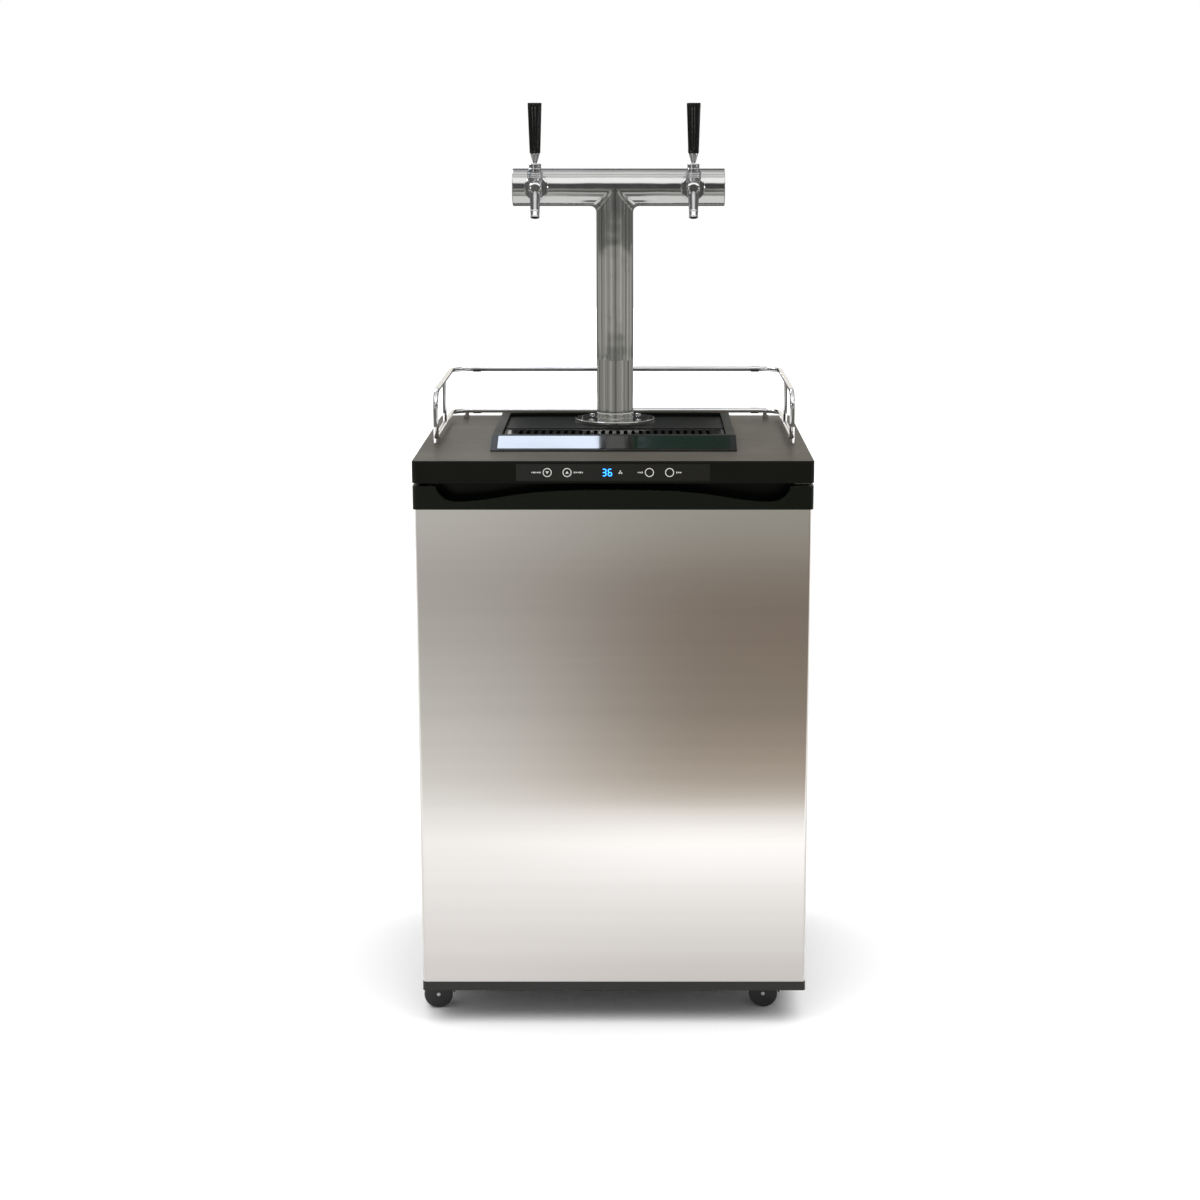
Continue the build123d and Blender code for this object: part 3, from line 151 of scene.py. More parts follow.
class TowerSettings(bpy.types.PropertyGroup):
    steel: colour("Tower steel", "Polished column and cross tube", (0.66, 0.66, 0.65))
    chrome: colour("Chrome", "Taps, nuts and rail", (0.82, 0.82, 0.83))
    weld_radius: length("Weld radius", "Blend between the column and the cross tube", 10 * MM)
    foot_weld: length("Foot weld", "Blend between the column and its flange", 2.5 * MM)
    flutes: count("Handle flutes", "Grooves round each handle", 10, 3)
    flute_depth: length("Flute depth", "Depth of the grooves in the handles", 1.5 * MM)


class ControlSettings(bpy.types.PropertyGroup):
    glow: colour("Digits", "Lit digits of the temperature display", (0.02, 0.22, 1.0))
    glow_strength: number("Glow strength", "Emission of the lit digits", 6.0, min=0, max=50)
    print_colour: colour("Legends", "Printed marks on the fascia", (0.55, 0.55, 0.53))
    digit_height: length("Digit height", "Height of the lit digits", 10 * MM)
    shown: count("Reading", "Number on the display", 36, 0, 99)


class CoolingSettings(bpy.types.PropertyGroup):
    wires: count("Condenser wires", "Upright wires of each layer", 34, 2)
    wire_radius: length("Wire radius", "Thickness of the condenser's wires", 0.9 * MM)
    copper: colour("Copper", "Refrigerant pipes", (0.72, 0.36, 0.2))


SETTING_GROUPS = {
    "stage": StageSettings,
    "cabinet": CabinetSettings,
    "tower": TowerSettings,
    "controls": ControlSettings,
    "cooling": CoolingSettings,
}


def settings(name):
    """One group of the scene's settings."""
    return getattr(bpy.context.scene, f"kegerator_{name}")


# ---- Mesh helpers
def object_from(name, mesh, material=None):
    """Links a mesh as a new object at the origin."""
    piece = bpy.data.objects.new(name, mesh)
    bpy.context.scene.collection.objects.link(piece)
    if material:
        mesh.materials.clear()
        mesh.materials.append(material)
    return piece


def finish_piece(piece, body, slot, sharp=35):
    """Smooth shading with crisp edges, then onto its body; the slot is not used."""
    for face in piece.data.polygons:
        face.use_smooth = True
    piece.data.set_sharp_from_angle(angle=radians(sharp))
    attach(piece, body)
    return piece


def make_piece(name, build, finish, body="cabinet", slot=None, sharp=35):
    """A piece filled by a function of a bmesh, with the material of its finish."""
    piece = object_from(name, mesh_from(name, build), FINISHES[finish])
    return finish_piece(piece, body, slot or finish, sharp)


def mesh_from(name, build):
    """A mesh filled by a function of a bmesh, with merged doubles and outward faces."""
    work = bmesh.new()
    build(work)
    bmesh.ops.remove_doubles(work, verts=work.verts, dist=TINY / 10)
    bmesh.ops.recalc_face_normals(work, faces=work.faces)
    mesh = bpy.data.meshes.new(name)
    work.to_mesh(mesh)
    work.free()
    return mesh


def lathe(work, profile, origin, axis=(0, 0, 1), steps=48):
    """Turns (radius, height) points about an axis; a radius of nought closes on the axis."""
    axis = Vector(axis).normalized()
    side = axis.orthogonal().normalized()
    other = axis.cross(side)
    origin = Vector(origin)
    rings = []
    for radius, height in profile:
        if radius < TINY / 100:
            rings.append([work.verts.new(origin + axis * height)] * steps)
            continue
        ring = []
        for step in range(steps):
            angle = 2 * pi * step / steps
            ring.append(
                work.verts.new(
                    origin + axis * height + (side * cos(angle) + other * sin(angle)) * radius
                )
            )
        rings.append(ring)
    for lower, upper in zip(rings, rings[1:]):
        for step in range(steps):
            turn = (step + 1) % steps
            corners = [lower[step], lower[turn], upper[turn], upper[step]]
            unique = list(dict.fromkeys(corners))
            if len(unique) > 2:
                work.faces.new(unique)


def block(work, low, high, bevel=0.0):
    """A box from corner to corner with softened edges."""
    low, high = Vector(low), Vector(high)
    made = bmesh.ops.create_cube(work, size=1)["verts"]
    size = high - low
    for vert in made:
        vert.co = Vector(
            (low.x + (vert.co.x + 0.5) * size.x, low.y + (vert.co.y + 0.5) * size.y,
             low.z + (vert.co.z + 0.5) * size.z)
        )
    if bevel:
        edges = {edge for vert in made for edge in vert.link_edges}
        bmesh.ops.bevel(
            work, geom=list(edges), offset=bevel, segments=3, profile=0.5, affect="EDGES"
        )


def rounded_outline(half_x, half_z, radius, steps=6):
    """Corner-rounded rectangle as (x, z) points, anticlockwise seen from the front."""
    points = []
    for corner, (sx, sz) in enumerate(((1, 1), (-1, 1), (-1, -1), (1, -1))):
        for step in range(steps + 1):
            angle = pi / 2 * (corner + step / steps)
            points.append(
                (sx * (half_x - radius) + radius * cos(angle),
                 sz * (half_z - radius) + radius * sin(angle))
            )
    return points


def front_plate(work, outline, x, z, y_back, y_front, bevel=0.0):
    """A plate with an (x, z) outline, standing between two y planes."""
    back = [work.verts.new((x + px, y_back, z + pz)) for px, pz in outline]
    face = work.faces.new(back)
    made = bmesh.ops.extrude_face_region(work, geom=[face])
    moved = [item for item in made["geom"] if isinstance(item, bmesh.types.BMVert)]
    for vert in moved:
        vert.co.y = y_front
    if bevel:
        front_edges = [
            edge for edge in work.edges
            if all(abs(vert.co.y - y_front) < TINY / 10 and vert in moved for vert in edge.verts)
        ]
        bmesh.ops.bevel(work, geom=front_edges, offset=bevel, segments=2, affect="EDGES")


def polyline(name, points):
    """A mesh of loose edges along a list of points."""
    mesh = bpy.data.meshes.new(name)
    mesh.from_pydata(points, [(i, i + 1) for i in range(len(points) - 1)], [])
    return mesh


# ---- Node helpers
def add_node(tree, kind, links=None, **values):
    """Adds a node, sets its properties and links or sets its inputs."""
    made = tree.nodes.new(kind)
    for key, value in values.items():
        setattr(made, key, value)
    for socket, value in (links or {}).items():
        if isinstance(value, bpy.types.NodeSocket):
            tree.links.new(value, made.inputs[socket])
        else:
            made.inputs[socket].default_value = value
    return made


def reckon(tree, operation, *terms):
    """A math node's result."""
    return add_node(tree, "ShaderNodeMath", dict(enumerate(terms)), operation=operation).outputs[0]


def split(tree, vector):
    """The x, y and z of a vector."""
    return add_node(tree, "ShaderNodeSeparateXYZ", {0: vector}).outputs


def object_place(tree):
    """The Object coordinates."""
    return add_node(tree, "ShaderNodeTexCoord").outputs["Object"]


def ranged(tree, value, low, high, to_low=0.0, to_high=1.0, **values):
    """A value carried from one range to another and held at its ends."""
    return add_node(
        tree, "ShaderNodeMapRange",
        {"Value": value, "From Min": low, "From Max": high, "To Min": to_low, "To Max": to_high},
        **values,
    ).outputs[0]


def mixed(tree, mask, first, second, **values):
    """Two colours mixed by a mask."""
    ends = [(*item, 1) if isinstance(item, tuple) else item for item in (first, second)]
    return add_node(
        tree, "ShaderNodeMix", {0: mask, 6: ends[0], 7: ends[1]}, data_type="RGBA", **values
    ).outputs[2]


class Tree:
    """A geometry node tree with named inputs, ending in Realize Instances and Set Material."""

    def __init__(self, name, inputs):
        self.group = bpy.data.node_groups.new(name, "GeometryNodeTree")
        face = self.group.interface
        kinds = {"Geometry": "Geometry", **inputs, "Material": "Material"}
        for label, kind in kinds.items():
            face.new_socket(label, in_out="INPUT", socket_type=f"NodeSocket{kind}")
        face.new_socket("Geometry", in_out="OUTPUT", socket_type="NodeSocketGeometry")
        self.source = self.group.nodes.new("NodeGroupInput")
        self.sink = self.group.nodes.new("NodeGroupOutput")

    def node(self, kind, links=None, **values):
        """Adds a node, sets its properties and links or sets its inputs."""
        return add_node(self.group, kind, links, **values)

    def given(self, label):
        """The output of a named input of the tree."""
        return self.source.outputs[label]

    def math(self, operation, *terms):
        """A math node's result."""
        return reckon(self.group, operation, *terms)

    def close(self, geometry):
        """Realizes, sets the material and ends the tree."""
        real = self.node("GeometryNodeRealizeInstances", {"Geometry": geometry})
        painted = self.node(
            "GeometryNodeSetMaterial",
            {"Geometry": real.outputs[0], "Material": self.given("Material")},
        )
        self.group.links.new(painted.outputs[0], self.sink.inputs[0])
        return self.group


def grow(name, seed, group, finish, values, body="cabinet", slot=None, sharp=60):
    """Runs a node tree on a seed mesh, or on an empty one, and finishes the plain result."""
    host = object_from(f"{name}_seed", seed or bpy.data.meshes.new(f"{name}_seed"))
    modifier = host.modifiers.new("grow", "NODES")
    modifier.node_group = group
    given = dict(values, Material=FINISHES[finish])
    for item in group.interface.items_tree:
        if item.in_out == "INPUT" and item.name in given:
            modifier[item.identifier] = given[item.name]
    bpy.context.view_layer.update()
    depsgraph = bpy.context.evaluated_depsgraph_get()
    mesh = bpy.data.meshes.new_from_object(
        host.evaluated_get(depsgraph), preserve_all_data_layers=False, depsgraph=depsgraph
    )
    host.modifiers.remove(modifier)
    bpy.data.objects.remove(host)
    mesh.name = name
    piece = object_from(name, mesh, FINISHES[finish])
    return finish_piece(piece, body, slot or finish, sharp)


def point_mesh(name, points, facing):
    """Loose points that all face one way."""
    mesh = bpy.data.meshes.new(name)
    mesh.from_pydata(points, [], [])
    for item in mesh.attributes.new("facing", "FLOAT_VECTOR", "POINT").data:
        item.vector = facing
    return mesh


def part_on_points_tree():
    """Places one small part on every point, with its +Z along the point's facing."""
    tree = Tree("part_on_points", {"Part": "Object", "Scale": "Float"})
    part = tree.node("GeometryNodeObjectInfo", {"Object": tree.given("Part")})
    facing = tree.node(
        "GeometryNodeInputNamedAttribute", {"Name": "facing"}, data_type="FLOAT_VECTOR"
    )
    turn = tree.node("FunctionNodeAlignRotationToVector", {"Vector": facing.outputs[0]}, axis="Z")
    placed = tree.node("GeometryNodeInstanceOnPoints", {
        "Points": tree.given("Geometry"), "Instance": part.outputs["Geometry"],
        "Rotation": turn.outputs[0], "Scale": tree.given("Scale"),
    })
    return tree.close(placed.outputs[0])


def tube_tree():
    """Rounds a polyline's corners and sweeps a closed tube along it."""
    tree = Tree("tube_on_path", {"Tube Radius": "Float", "Bend Radius": "Float"})
    path = tree.node("GeometryNodeMeshToCurve", {"Mesh": tree.given("Geometry")})
    bent = tree.node("GeometryNodeFilletCurve", {
        "Curve": path.outputs[0], "Count": 8, "Radius": tree.given("Bend Radius"),
        "Limit Radius": True,
    }, mode="POLY")
    ring = tree.node(
        "GeometryNodeCurvePrimitiveCircle", {"Resolution": 12, "Radius": tree.given("Tube Radius")}
    )
    tube = tree.node("GeometryNodeCurveToMesh", {
        "Curve": bent.outputs[0], "Profile Curve": ring.outputs[0], "Fill Caps": True,
    })
    return tree.close(tube.outputs[0])


def wire_row_tree():
    """A row of upright wires, evenly spaced along X, from a start point."""
    tree = Tree("row_of_wires", {
        "Count": "Int", "Start": "Vector", "Step": "Vector", "Height": "Float",
        "Wire Radius": "Float",
    })
    given = tree.given
    row = tree.node("GeometryNodeMeshLine", {
        "Count": given("Count"), "Start Location": given("Start"), "Offset": given("Step"),
    })
    wire = tree.node("GeometryNodeMeshCylinder", {
        "Vertices": 8, "Radius": given("Wire Radius"), "Depth": given("Height"),
    })
    placed = tree.node(
        "GeometryNodeInstanceOnPoints", {"Points": row.outputs[0], "Instance": wire.outputs[0]}
    )
    return tree.close(placed.outputs[0])


def fluted_grip_tree():
    """A tapered round grip whose radius follows its height, with flutes round it."""
    tree = Tree("fluted_grip", {
        "Foot Radius": "Float", "Head Radius": "Float", "Height": "Float", "Flutes": "Int",
        "Flute Depth": "Float", "Place": "Vector",
    })
    given, math = tree.given, tree.math
    body = tree.node("GeometryNodeMeshCylinder", {
        "Vertices": 160, "Side Segments": 60, "Fill Segments": 8, "Radius": 1.0, "Depth": 1.0,
    })
    x, y, z = split(tree.group, tree.node("GeometryNodeInputPosition").outputs[0])
    rise = math("ADD", z, 0.5)
    from_head = math("SUBTRACT", 1.0, rise)
    angle = math("ARCTAN2", y, x)
    widening = math("SUBTRACT", given("Head Radius"), given("Foot Radius"))
    taper = math("MULTIPLY_ADD", rise, widening, given("Foot Radius"))
    turns = math("MULTIPLY", angle, math("MULTIPLY", given("Flutes"), 0.5))
    wave = math("ABSOLUTE", math("COSINE", turns))
    hollow = math("SUBTRACT", 1.0, math("POWER", math("SUBTRACT", 1.0, wave), 1.6))
    # The flutes fade out at the foot and at the head, and the rims are rounded.
    ends = math("MINIMUM", math("MULTIPLY", rise, 9.0), math("MULTIPLY", from_head, 16.0))
    fade = math("MINIMUM", 1.0, ends)
    depth = math("MULTIPLY", given("Flute Depth"), math("MULTIPLY", fade, fade))
    groove = math("MULTIPLY", hollow, depth)
    rim = math("MINIMUM", 1.0, math("MULTIPLY", math("MINIMUM", rise, from_head), 40.0))
    rounding = math("MULTIPLY", math("SUBTRACT", 1.0, math("SQRT", rim)), 1.2 * MM)
    radius = math("SUBTRACT", math("SUBTRACT", taper, groove), rounding)
    moved = tree.node("ShaderNodeCombineXYZ", {
        0: math("MULTIPLY", x, radius), 1: math("MULTIPLY", y, radius),
        2: math("MULTIPLY", rise, given("Height")),
    })
    placed = tree.node(
        "ShaderNodeVectorMath", {0: moved.outputs[0], 1: given("Place")}, operation="ADD"
    )
    shaped = tree.node(
        "GeometryNodeSetPosition", {"Geometry": body.outputs[0], "Position": placed.outputs[0]}
    )
    return tree.close(shaped.outputs[0])


# ---- Shader groups
def shader_group(name, inputs, outputs):
    """An empty shader node group with float or colour sockets and its two end nodes."""
    group = bpy.data.node_groups.new(name, "ShaderNodeTree")
    for label, (kind, default) in inputs.items():
        socket = group.interface.new_socket(label, in_out="INPUT", socket_type=kind)
        socket.default_value = default
    for label, kind in outputs.items():
        group.interface.new_socket(label, in_out="OUTPUT", socket_type=kind)
    return group, group.nodes.new("NodeGroupInput"), group.nodes.new("NodeGroupOutput")


def stretched_noise(tree, scale, amount, detail=4.0, roughness=0.6):
    """Noise on Object coordinates, stretched by a scale for each axis."""
    place = add_node(tree, "ShaderNodeMapping", {"Vector": object_place(tree), "Scale": scale})
    return add_node(
        tree, "ShaderNodeTexNoise",
        {"Vector": place.outputs[0], "Scale": amount, "Detail": detail, "Roughness": roughness},
    ).outputs["Fac"]


def even_noise(tree, amount, detail=4.0, roughness=0.6):
    """Noise on Object coordinates with one scale."""
    return stretched_noise(tree, (1, 1, 1), amount, detail, roughness)


def brush_group(name, scale):
    """Fine brushed lines: a line mask and a slower cloudy mask."""
    group, _, sink = shader_group(
        name, {}, {"Lines": "NodeSocketFloat", "Clouds": "NodeSocketFloat"}
    )
    lines = stretched_noise(group, scale, 1.0, 6.0, 0.7)
    clouds = stretched_noise(group, tuple(value * 0.02 for value in scale), 1.0, 2.0, 0.5)
    group.links.new(lines, sink.inputs["Lines"])
    group.links.new(clouds, sink.inputs["Clouds"])
    return group


def grain_group():
    """Moulded grain: a fine pebbled height and a slow cloudy mask."""
    group, source, sink = shader_group(
        "moulded_grain",
        {"Grain Scale": ("NodeSocketFloat", 900.0)},
        {"Height": "NodeSocketFloat", "Clouds": "NodeSocketFloat"},
    )
    place = object_place(group)
    grain = add_node(
        group, "ShaderNodeTexVoronoi",
        {"Vector": place, "Scale": source.outputs["Grain Scale"]}, feature="SMOOTH_F1",
    )
    clouds = add_node(group, "ShaderNodeTexNoise", {"Vector": place, "Scale": 6.0, "Detail": 5.0})
    group.links.new(grain.outputs["Distance"], sink.inputs["Height"])
    group.links.new(clouds.outputs["Fac"], sink.inputs["Clouds"])
    return group


def painted_sheen_group():
    """Painted sheen on faces that look up, broken by noise: a mask that stands in for the grazing reflection of
    the studio's light.
    """
    group, source, sink = shader_group(
        "painted_sheen", {"Amount": ("NodeSocketFloat", 0.3)}, {"Mask": "NodeSocketFloat"}
    )
    normal = add_node(group, "ShaderNodeNewGeometry").outputs["Normal"]
    up = ranged(group, split(group, normal)[2], 0.9, 0.99)
    patches = ranged(group, even_noise(group, 40.0, 6.0), 0.2, 0.8, 0.7, 1.0)
    both = reckon(group, "MULTIPLY", up, patches)
    group.links.new(reckon(group, "MULTIPLY", both, source.outputs["Amount"]), sink.inputs["Mask"])
    return group


def place_group(tree, group, values=None):
    """Puts a shared group into a material with its own values."""
    return add_node(tree, "ShaderNodeGroup", values, node_tree=group).outputs


# ---- Materials
def start_material(name, base, roughness, metallic=0.0, **sockets):
    """A material with one Principled shader; constants go on its own sockets."""
    material = bpy.data.materials.new(name)
    material.use_nodes = True
    tree = material.node_tree
    shader = tree.nodes["Principled BSDF"]
    shader.inputs["Base Color"].default_value = (*base, 1)
    shader.inputs["Roughness"].default_value = roughness
    shader.inputs["Metallic"].default_value = metallic
    for label, value in sockets.items():
        shader.inputs[label.replace("_", " ")].default_value = value
    return material, tree, shader


def vary(tree, shader, label, mask, low, high):
    """Drives a float socket of the shader between two values by a mask."""
    tree.links.new(ranged(tree, mask, 0.25, 0.75, low, high), shader.inputs[label])


def tint(tree, shader, mask, first, second, label="Base Color"):
    """Mixes a colour of the shader between two colours by a mask."""
    blend = mixed(tree, mask, first, second)
    tree.links.new(blend, shader.inputs[label])
    return blend


def bump(tree, shader, height, strength, distance, over=None):
    """Feeds a height mask to the shader's normal, on top of another bump if there is one."""
    made = add_node(
        tree, "ShaderNodeBump", {"Height": height, "Strength": strength, "Distance": distance}
    )
    if over:
        tree.links.new(over.outputs[0], made.inputs["Normal"])
    tree.links.new(made.outputs[0], shader.inputs["Normal"])
    return made


def shade(base, amount):
    """A colour made lighter or darker."""
    return tuple(min(1.0, value * amount) for value in base)


def grey(value):
    """A colour without a hue."""
    return (value, value, value)


def brushed_metal(name, base, roughness, group, spread=0.12, depth=0.02, anisotropy=0.0,
                  swell=0.0):
    """Metal with brushed lines that change its roughness, tone and relief, and low swells."""
    material, tree, shader = start_material(
        name, base, roughness, metallic=1.0, Anisotropic=anisotropy
    )
    brush = place_group(tree, group)
    vary(tree, shader, "Roughness", brush["Lines"], roughness - spread / 2,
         roughness + spread / 2)
    tint(tree, shader, brush["Clouds"], shade(base, 0.93), shade(base, 1.06))
    swells = bump(tree, shader, even_noise(tree, 26.0, 1.0), 1.0, swell) if swell else None
    bump(tree, shader, brush["Lines"], depth, 0.2 * MM, swells)
    return material


def polished_metal(name, base, roughness, clouds=12.0):
    """Plated or polished metal with faint handling marks in its gloss."""
    material, tree, shader = start_material(name, base, roughness, metallic=1.0)
    marks = even_noise(tree, clouds, 8.0, 0.65)
    vary(tree, shader, "Roughness", marks, roughness * 0.6, roughness * 1.9)
    tint(tree, shader, marks, shade(base, 0.94), shade(base, 1.03))
    return material


def moulded_plastic(name, base, roughness, grain, grain_scale=900.0, depth=0.15, coat=0.0,
                    shine=0.5, sheen_group=None, sheen_below=0.0):
    """Moulded plastic with a fine grain, cloudy gloss and a painted warm sheen on its upward faces that ends at a
    height.
    """
    material, tree, shader = start_material(
        name, base, roughness, Coat_Weight=coat, Specular_IOR_Level=shine
    )
    texture = place_group(tree, grain, {"Grain Scale": grain_scale})
    vary(tree, shader, "Roughness", texture["Clouds"], roughness - 0.06, roughness + 0.08)
    plain = tint(tree, shader, texture["Clouds"], shade(base, 0.85), shade(base, 1.2))
    if sheen_group:
        # Painted sheen: up-facing faces below the height are tinted warm grey, in place of the grazing reflection
        # of the studio's light.
        sheen_mask = place_group(tree, sheen_group, {"Amount": 0.42})["Mask"]
        under = reckon(tree, "LESS_THAN", split(tree, object_place(tree))[2], sheen_below)
        tint(tree, shader, reckon(tree, "MULTIPLY", sheen_mask, under), plain, (0.16, 0.14, 0.108))
    bump(tree, shader, texture["Height"], depth, 0.1 * MM)
    return material


def rubber(name, base, grain):
    """Soft matte rubber with a little bloom."""
    material, tree, shader = start_material(name, base, 0.75, Sheen_Weight=0.2)
    texture = place_group(tree, grain, {"Grain Scale": 500.0})
    tint(tree, shader, texture["Clouds"], shade(base, 0.8), shade(base, 1.5))
    vary(tree, shader, "Roughness", texture["Clouds"], 0.66, 0.86)
    bump(tree, shader, texture["Height"], 0.2, 0.1 * MM)
    return material


def lit_digits(name, base, strength):
    """Lit display segments with a slightly uneven glow."""
    material, tree, shader = start_material(name, (0.0, 0.02, 0.1), 0.4)
    tint(tree, shader, even_noise(tree, 300.0, 2.0), shade(base, 0.8), shade(base, 1.25),
         "Emission Color")
    shader.inputs["Emission Strength"].default_value = strength
    return material


def clear_tube(name):
    """Translucent hose wall, faintly cloudy."""
    material, tree, shader = start_material(
        name, (0.82, 0.84, 0.86), 0.16, Transmission_Weight=0.55, IOR=1.45
    )
    haze = even_noise(tree, 60.0, 3.0)
    vary(tree, shader, "Roughness", haze, 0.1, 0.3)
    tint(tree, shader, haze, (0.75, 0.77, 0.8), (0.86, 0.87, 0.88))
    return material


def foam_material(name):
    """Yellowish rigid foam with small cells."""
    material, tree, shader = start_material(name, (0.78, 0.68, 0.42), 0.9)
    cells = even_noise(tree, 700.0, 4.0)
    tint(tree, shader, cells, (0.62, 0.52, 0.3), (0.88, 0.78, 0.52))
    bump(tree, shader, cells, 0.5, 0.5 * MM)
    return material


def circuit_material(name):
    """Green board with darker traces."""
    material, tree, shader = start_material(name, (0.02, 0.16, 0.06), 0.4, Coat_Weight=0.4)
    traces = add_node(
        tree, "ShaderNodeTexBrick",
        {"Vector": object_place(tree), "Scale": 120.0, "Color1": (0.02, 0.2, 0.07, 1),
         "Color2": (0.015, 0.14, 0.05, 1), "Mortar": (0.2, 0.22, 0.08, 1)},
    )
    tree.links.new(traces.outputs["Color"], shader.inputs["Base Color"])
    vary(tree, shader, "Roughness", traces.outputs["Fac"], 0.35, 0.55)
    return material


FINISHES = {}


def make_finishes():
    """Builds every material once and files it under the record's slot names."""
    cabinet, tower, controls = settings("cabinet"), settings("tower"), settings("controls")
    grain, sheen_group = grain_group(), painted_sheen_group()
    across = brush_group("brushed_across", (3.0, 3.0, 1400.0))
    along_column = brush_group("brushed_round", (900.0, 900.0, 5.0))
    plastic = tuple(cabinet.plastic)
    table = {
        "brushed_steel": (brushed_metal, tuple(cabinet.steel), 0.14, across, 0.06, 0.03, 0.35),
        "tower_steel": (
            brushed_metal, tuple(tower.steel), 0.11, along_column, 0.06, 0.05, 0.0, 0.6 * MM
        ),
        "chrome": (polished_metal, tuple(tower.chrome), 0.07),
        "aluminium": (brushed_metal, (0.72, 0.73, 0.75), 0.34, across, 0.1, 0.04),
        "galvanised_steel": (brushed_metal, (0.50, 0.51, 0.52), 0.42, across, 0.12, 0.02),
        "copper": (polished_metal, tuple(settings("cooling").copper), 0.25, 60.0),
        # The deck's upward faces get the painted sheen, up to the tray's rim.
        "deck_plastic": (
            moulded_plastic, (0.0035, 0.0042, 0.0024), 0.42, grain, 700.0, 0.25, 0.0, 0.1, sheen_group,
            TRAY_RIM_Z
        ),
        "cap_plastic": (
            moulded_plastic, (0.003, 0.0048, 0.0022), 0.26, grain, 900.0, 0.06, 0.0, 0.14
        ),
        "black_plastic": (moulded_plastic, plastic, 0.45, grain, 800.0, 0.2),
        "grip_plastic": (moulded_plastic, (0.002, 0.002, 0.0016), 0.16, grain, 40.0, 0.005, 0.1),
        "gloss_black": (moulded_plastic, shade(plastic, 0.6), 0.10, grain, 300.0, 0.01, 0.2, 0.25),
        "black_enamel": (moulded_plastic, tuple(cabinet.enamel), 0.38, grain, 350.0, 0.3, 0.15),
        "white_liner": (moulded_plastic, tuple(cabinet.liner), 0.35, grain, 600.0, 0.1),
        "grey_gasket": (rubber, (0.30, 0.30, 0.31), grain),
        "black_rubber": (rubber, (0.015, 0.015, 0.015), grain),
        "castor_wheel": (rubber, (0.02, 0.02, 0.021), grain),
        "clear_tube": (clear_tube,),
        "foam": (foam_material,),
        "circuit_board": (circuit_material,),
        "legend_print": (moulded_plastic, tuple(controls.print_colour), 0.5, grain, 900.0, 0.02),
        "lit_digits": (lit_digits, tuple(controls.glow), controls.glow_strength),
    }
    FINISHES.update((name, build(name, *values)) for name, (build, *values) in table.items())


class KEG_OT_finishes(bpy.types.Operator):
    """Builds the materials and gives each node of the frame the one of its slot"""

    bl_idname = "kegerator.finishes"
    bl_label = "Finish the frame"

    def execute(self, context):
        make_finishes()
        slots = {item["node"]: item["material_slot"] for item in frame["record"]["subparts"]}
        for node, piece in frame["nodes"].items():
            material = FINISHES[slots[node]]
            if not piece.material_slots:
                piece.data.materials.append(material)
            for place in piece.material_slots:
                place.material = material
        return {"FINISHED"}


# ---- Tower
def tee_weld(work, blend, steps=40, arc_steps=10):
    """The blend in both crotches where the column meets the cross tube.

    Both tubes have one radius, so at each depth y the two walls meet in a square corner, and
    the blend is an arc there whose radius shrinks with the corner towards the front and back.
    """
    inset = 1.0 * MM
    for side in (-1, 1):
        rings = []
        for step in range(steps + 1):
            sweep = radians(-84 + 168 * step / steps)
            y = TOWER_Y + TUBE_R * sin(sweep)
            reach = TUBE_R * cos(sweep)
            bend = blend * sqrt(reach / TUBE_R)
            ring = []
            for turn in range(arc_steps + 1):
                angle = pi / 2 * turn / arc_steps
                ring.append((reach + bend - bend * cos(angle), -reach - bend + bend * sin(angle)))
            ring.append((reach + bend, -reach + inset))
            ring.append((reach - inset, -reach + inset))
            ring.append((reach - inset, -reach - bend))
            rings.append([work.verts.new((side * px, y, BAR_Z + pz)) for px, pz in ring])
        for first, second in zip(rings, rings[1:]):
            for i in range(len(first)):
                j = (i + 1) % len(first)
                work.faces.new((first[i], first[j], second[j], second[i]))
        work.faces.new(rings[0])
        work.faces.new(list(reversed(rings[-1])))


class KEG_OT_tower(bpy.types.Operator):
    """Adds the blends of the welded tower"""

    bl_idname = "kegerator.tower"
    bl_label = "Tower welds"

    def execute(self, context):
        tower = settings("tower")
        make_piece(
            "tee_weld", lambda work: tee_weld(work, tower.weld_radius), "tower_steel", sharp=50
        )
        foot, inner, steps = tower.foot_weld, TUBE_R - MM, 6
        profile = [(inner, 0)]
        for step in range(steps + 1):
            angle = pi / 2 * step / steps
            profile.append((TUBE_R + foot - foot * sin(angle), foot - foot * cos(angle)))
        profile += [(inner, foot), (inner, 0)]
        base = (0, TOWER_Y, FLANGE_HIGH.z)
        make_piece("column_weld", lambda work: lathe(work, profile, base, steps=72), "tower_steel")
        return {"FINISHED"}


# ---- Taps
SPOUT_TILT = radians(19)
SPOUT_DOWN = Vector((0, -sin(SPOUT_TILT), -cos(SPOUT_TILT)))
SPOUT_LENGTH = 48 * MM
SPOUT_R = 7 * MM
BARREL_R = 12.5 * MM


def bead(radius, height, width, rise):
    """Half-round bead on a cylinder, as (radius, height) points for a lathe."""
    inner = radius - 0.3 * MM
    points = [(inner, height - width / 2)]
    for step in range(9):
        angle = pi * step / 8
        points.append((radius + rise * sin(angle), height - width / 2 * cos(angle)))
    return points + [(inner, height + width / 2), (inner, height - width / 2)]


def spout_root(x, y):
    """Where the middle line of a spout starts, inside the barrel's nose."""
    return Vector((x, y - 5 * MM, BAR_Z))


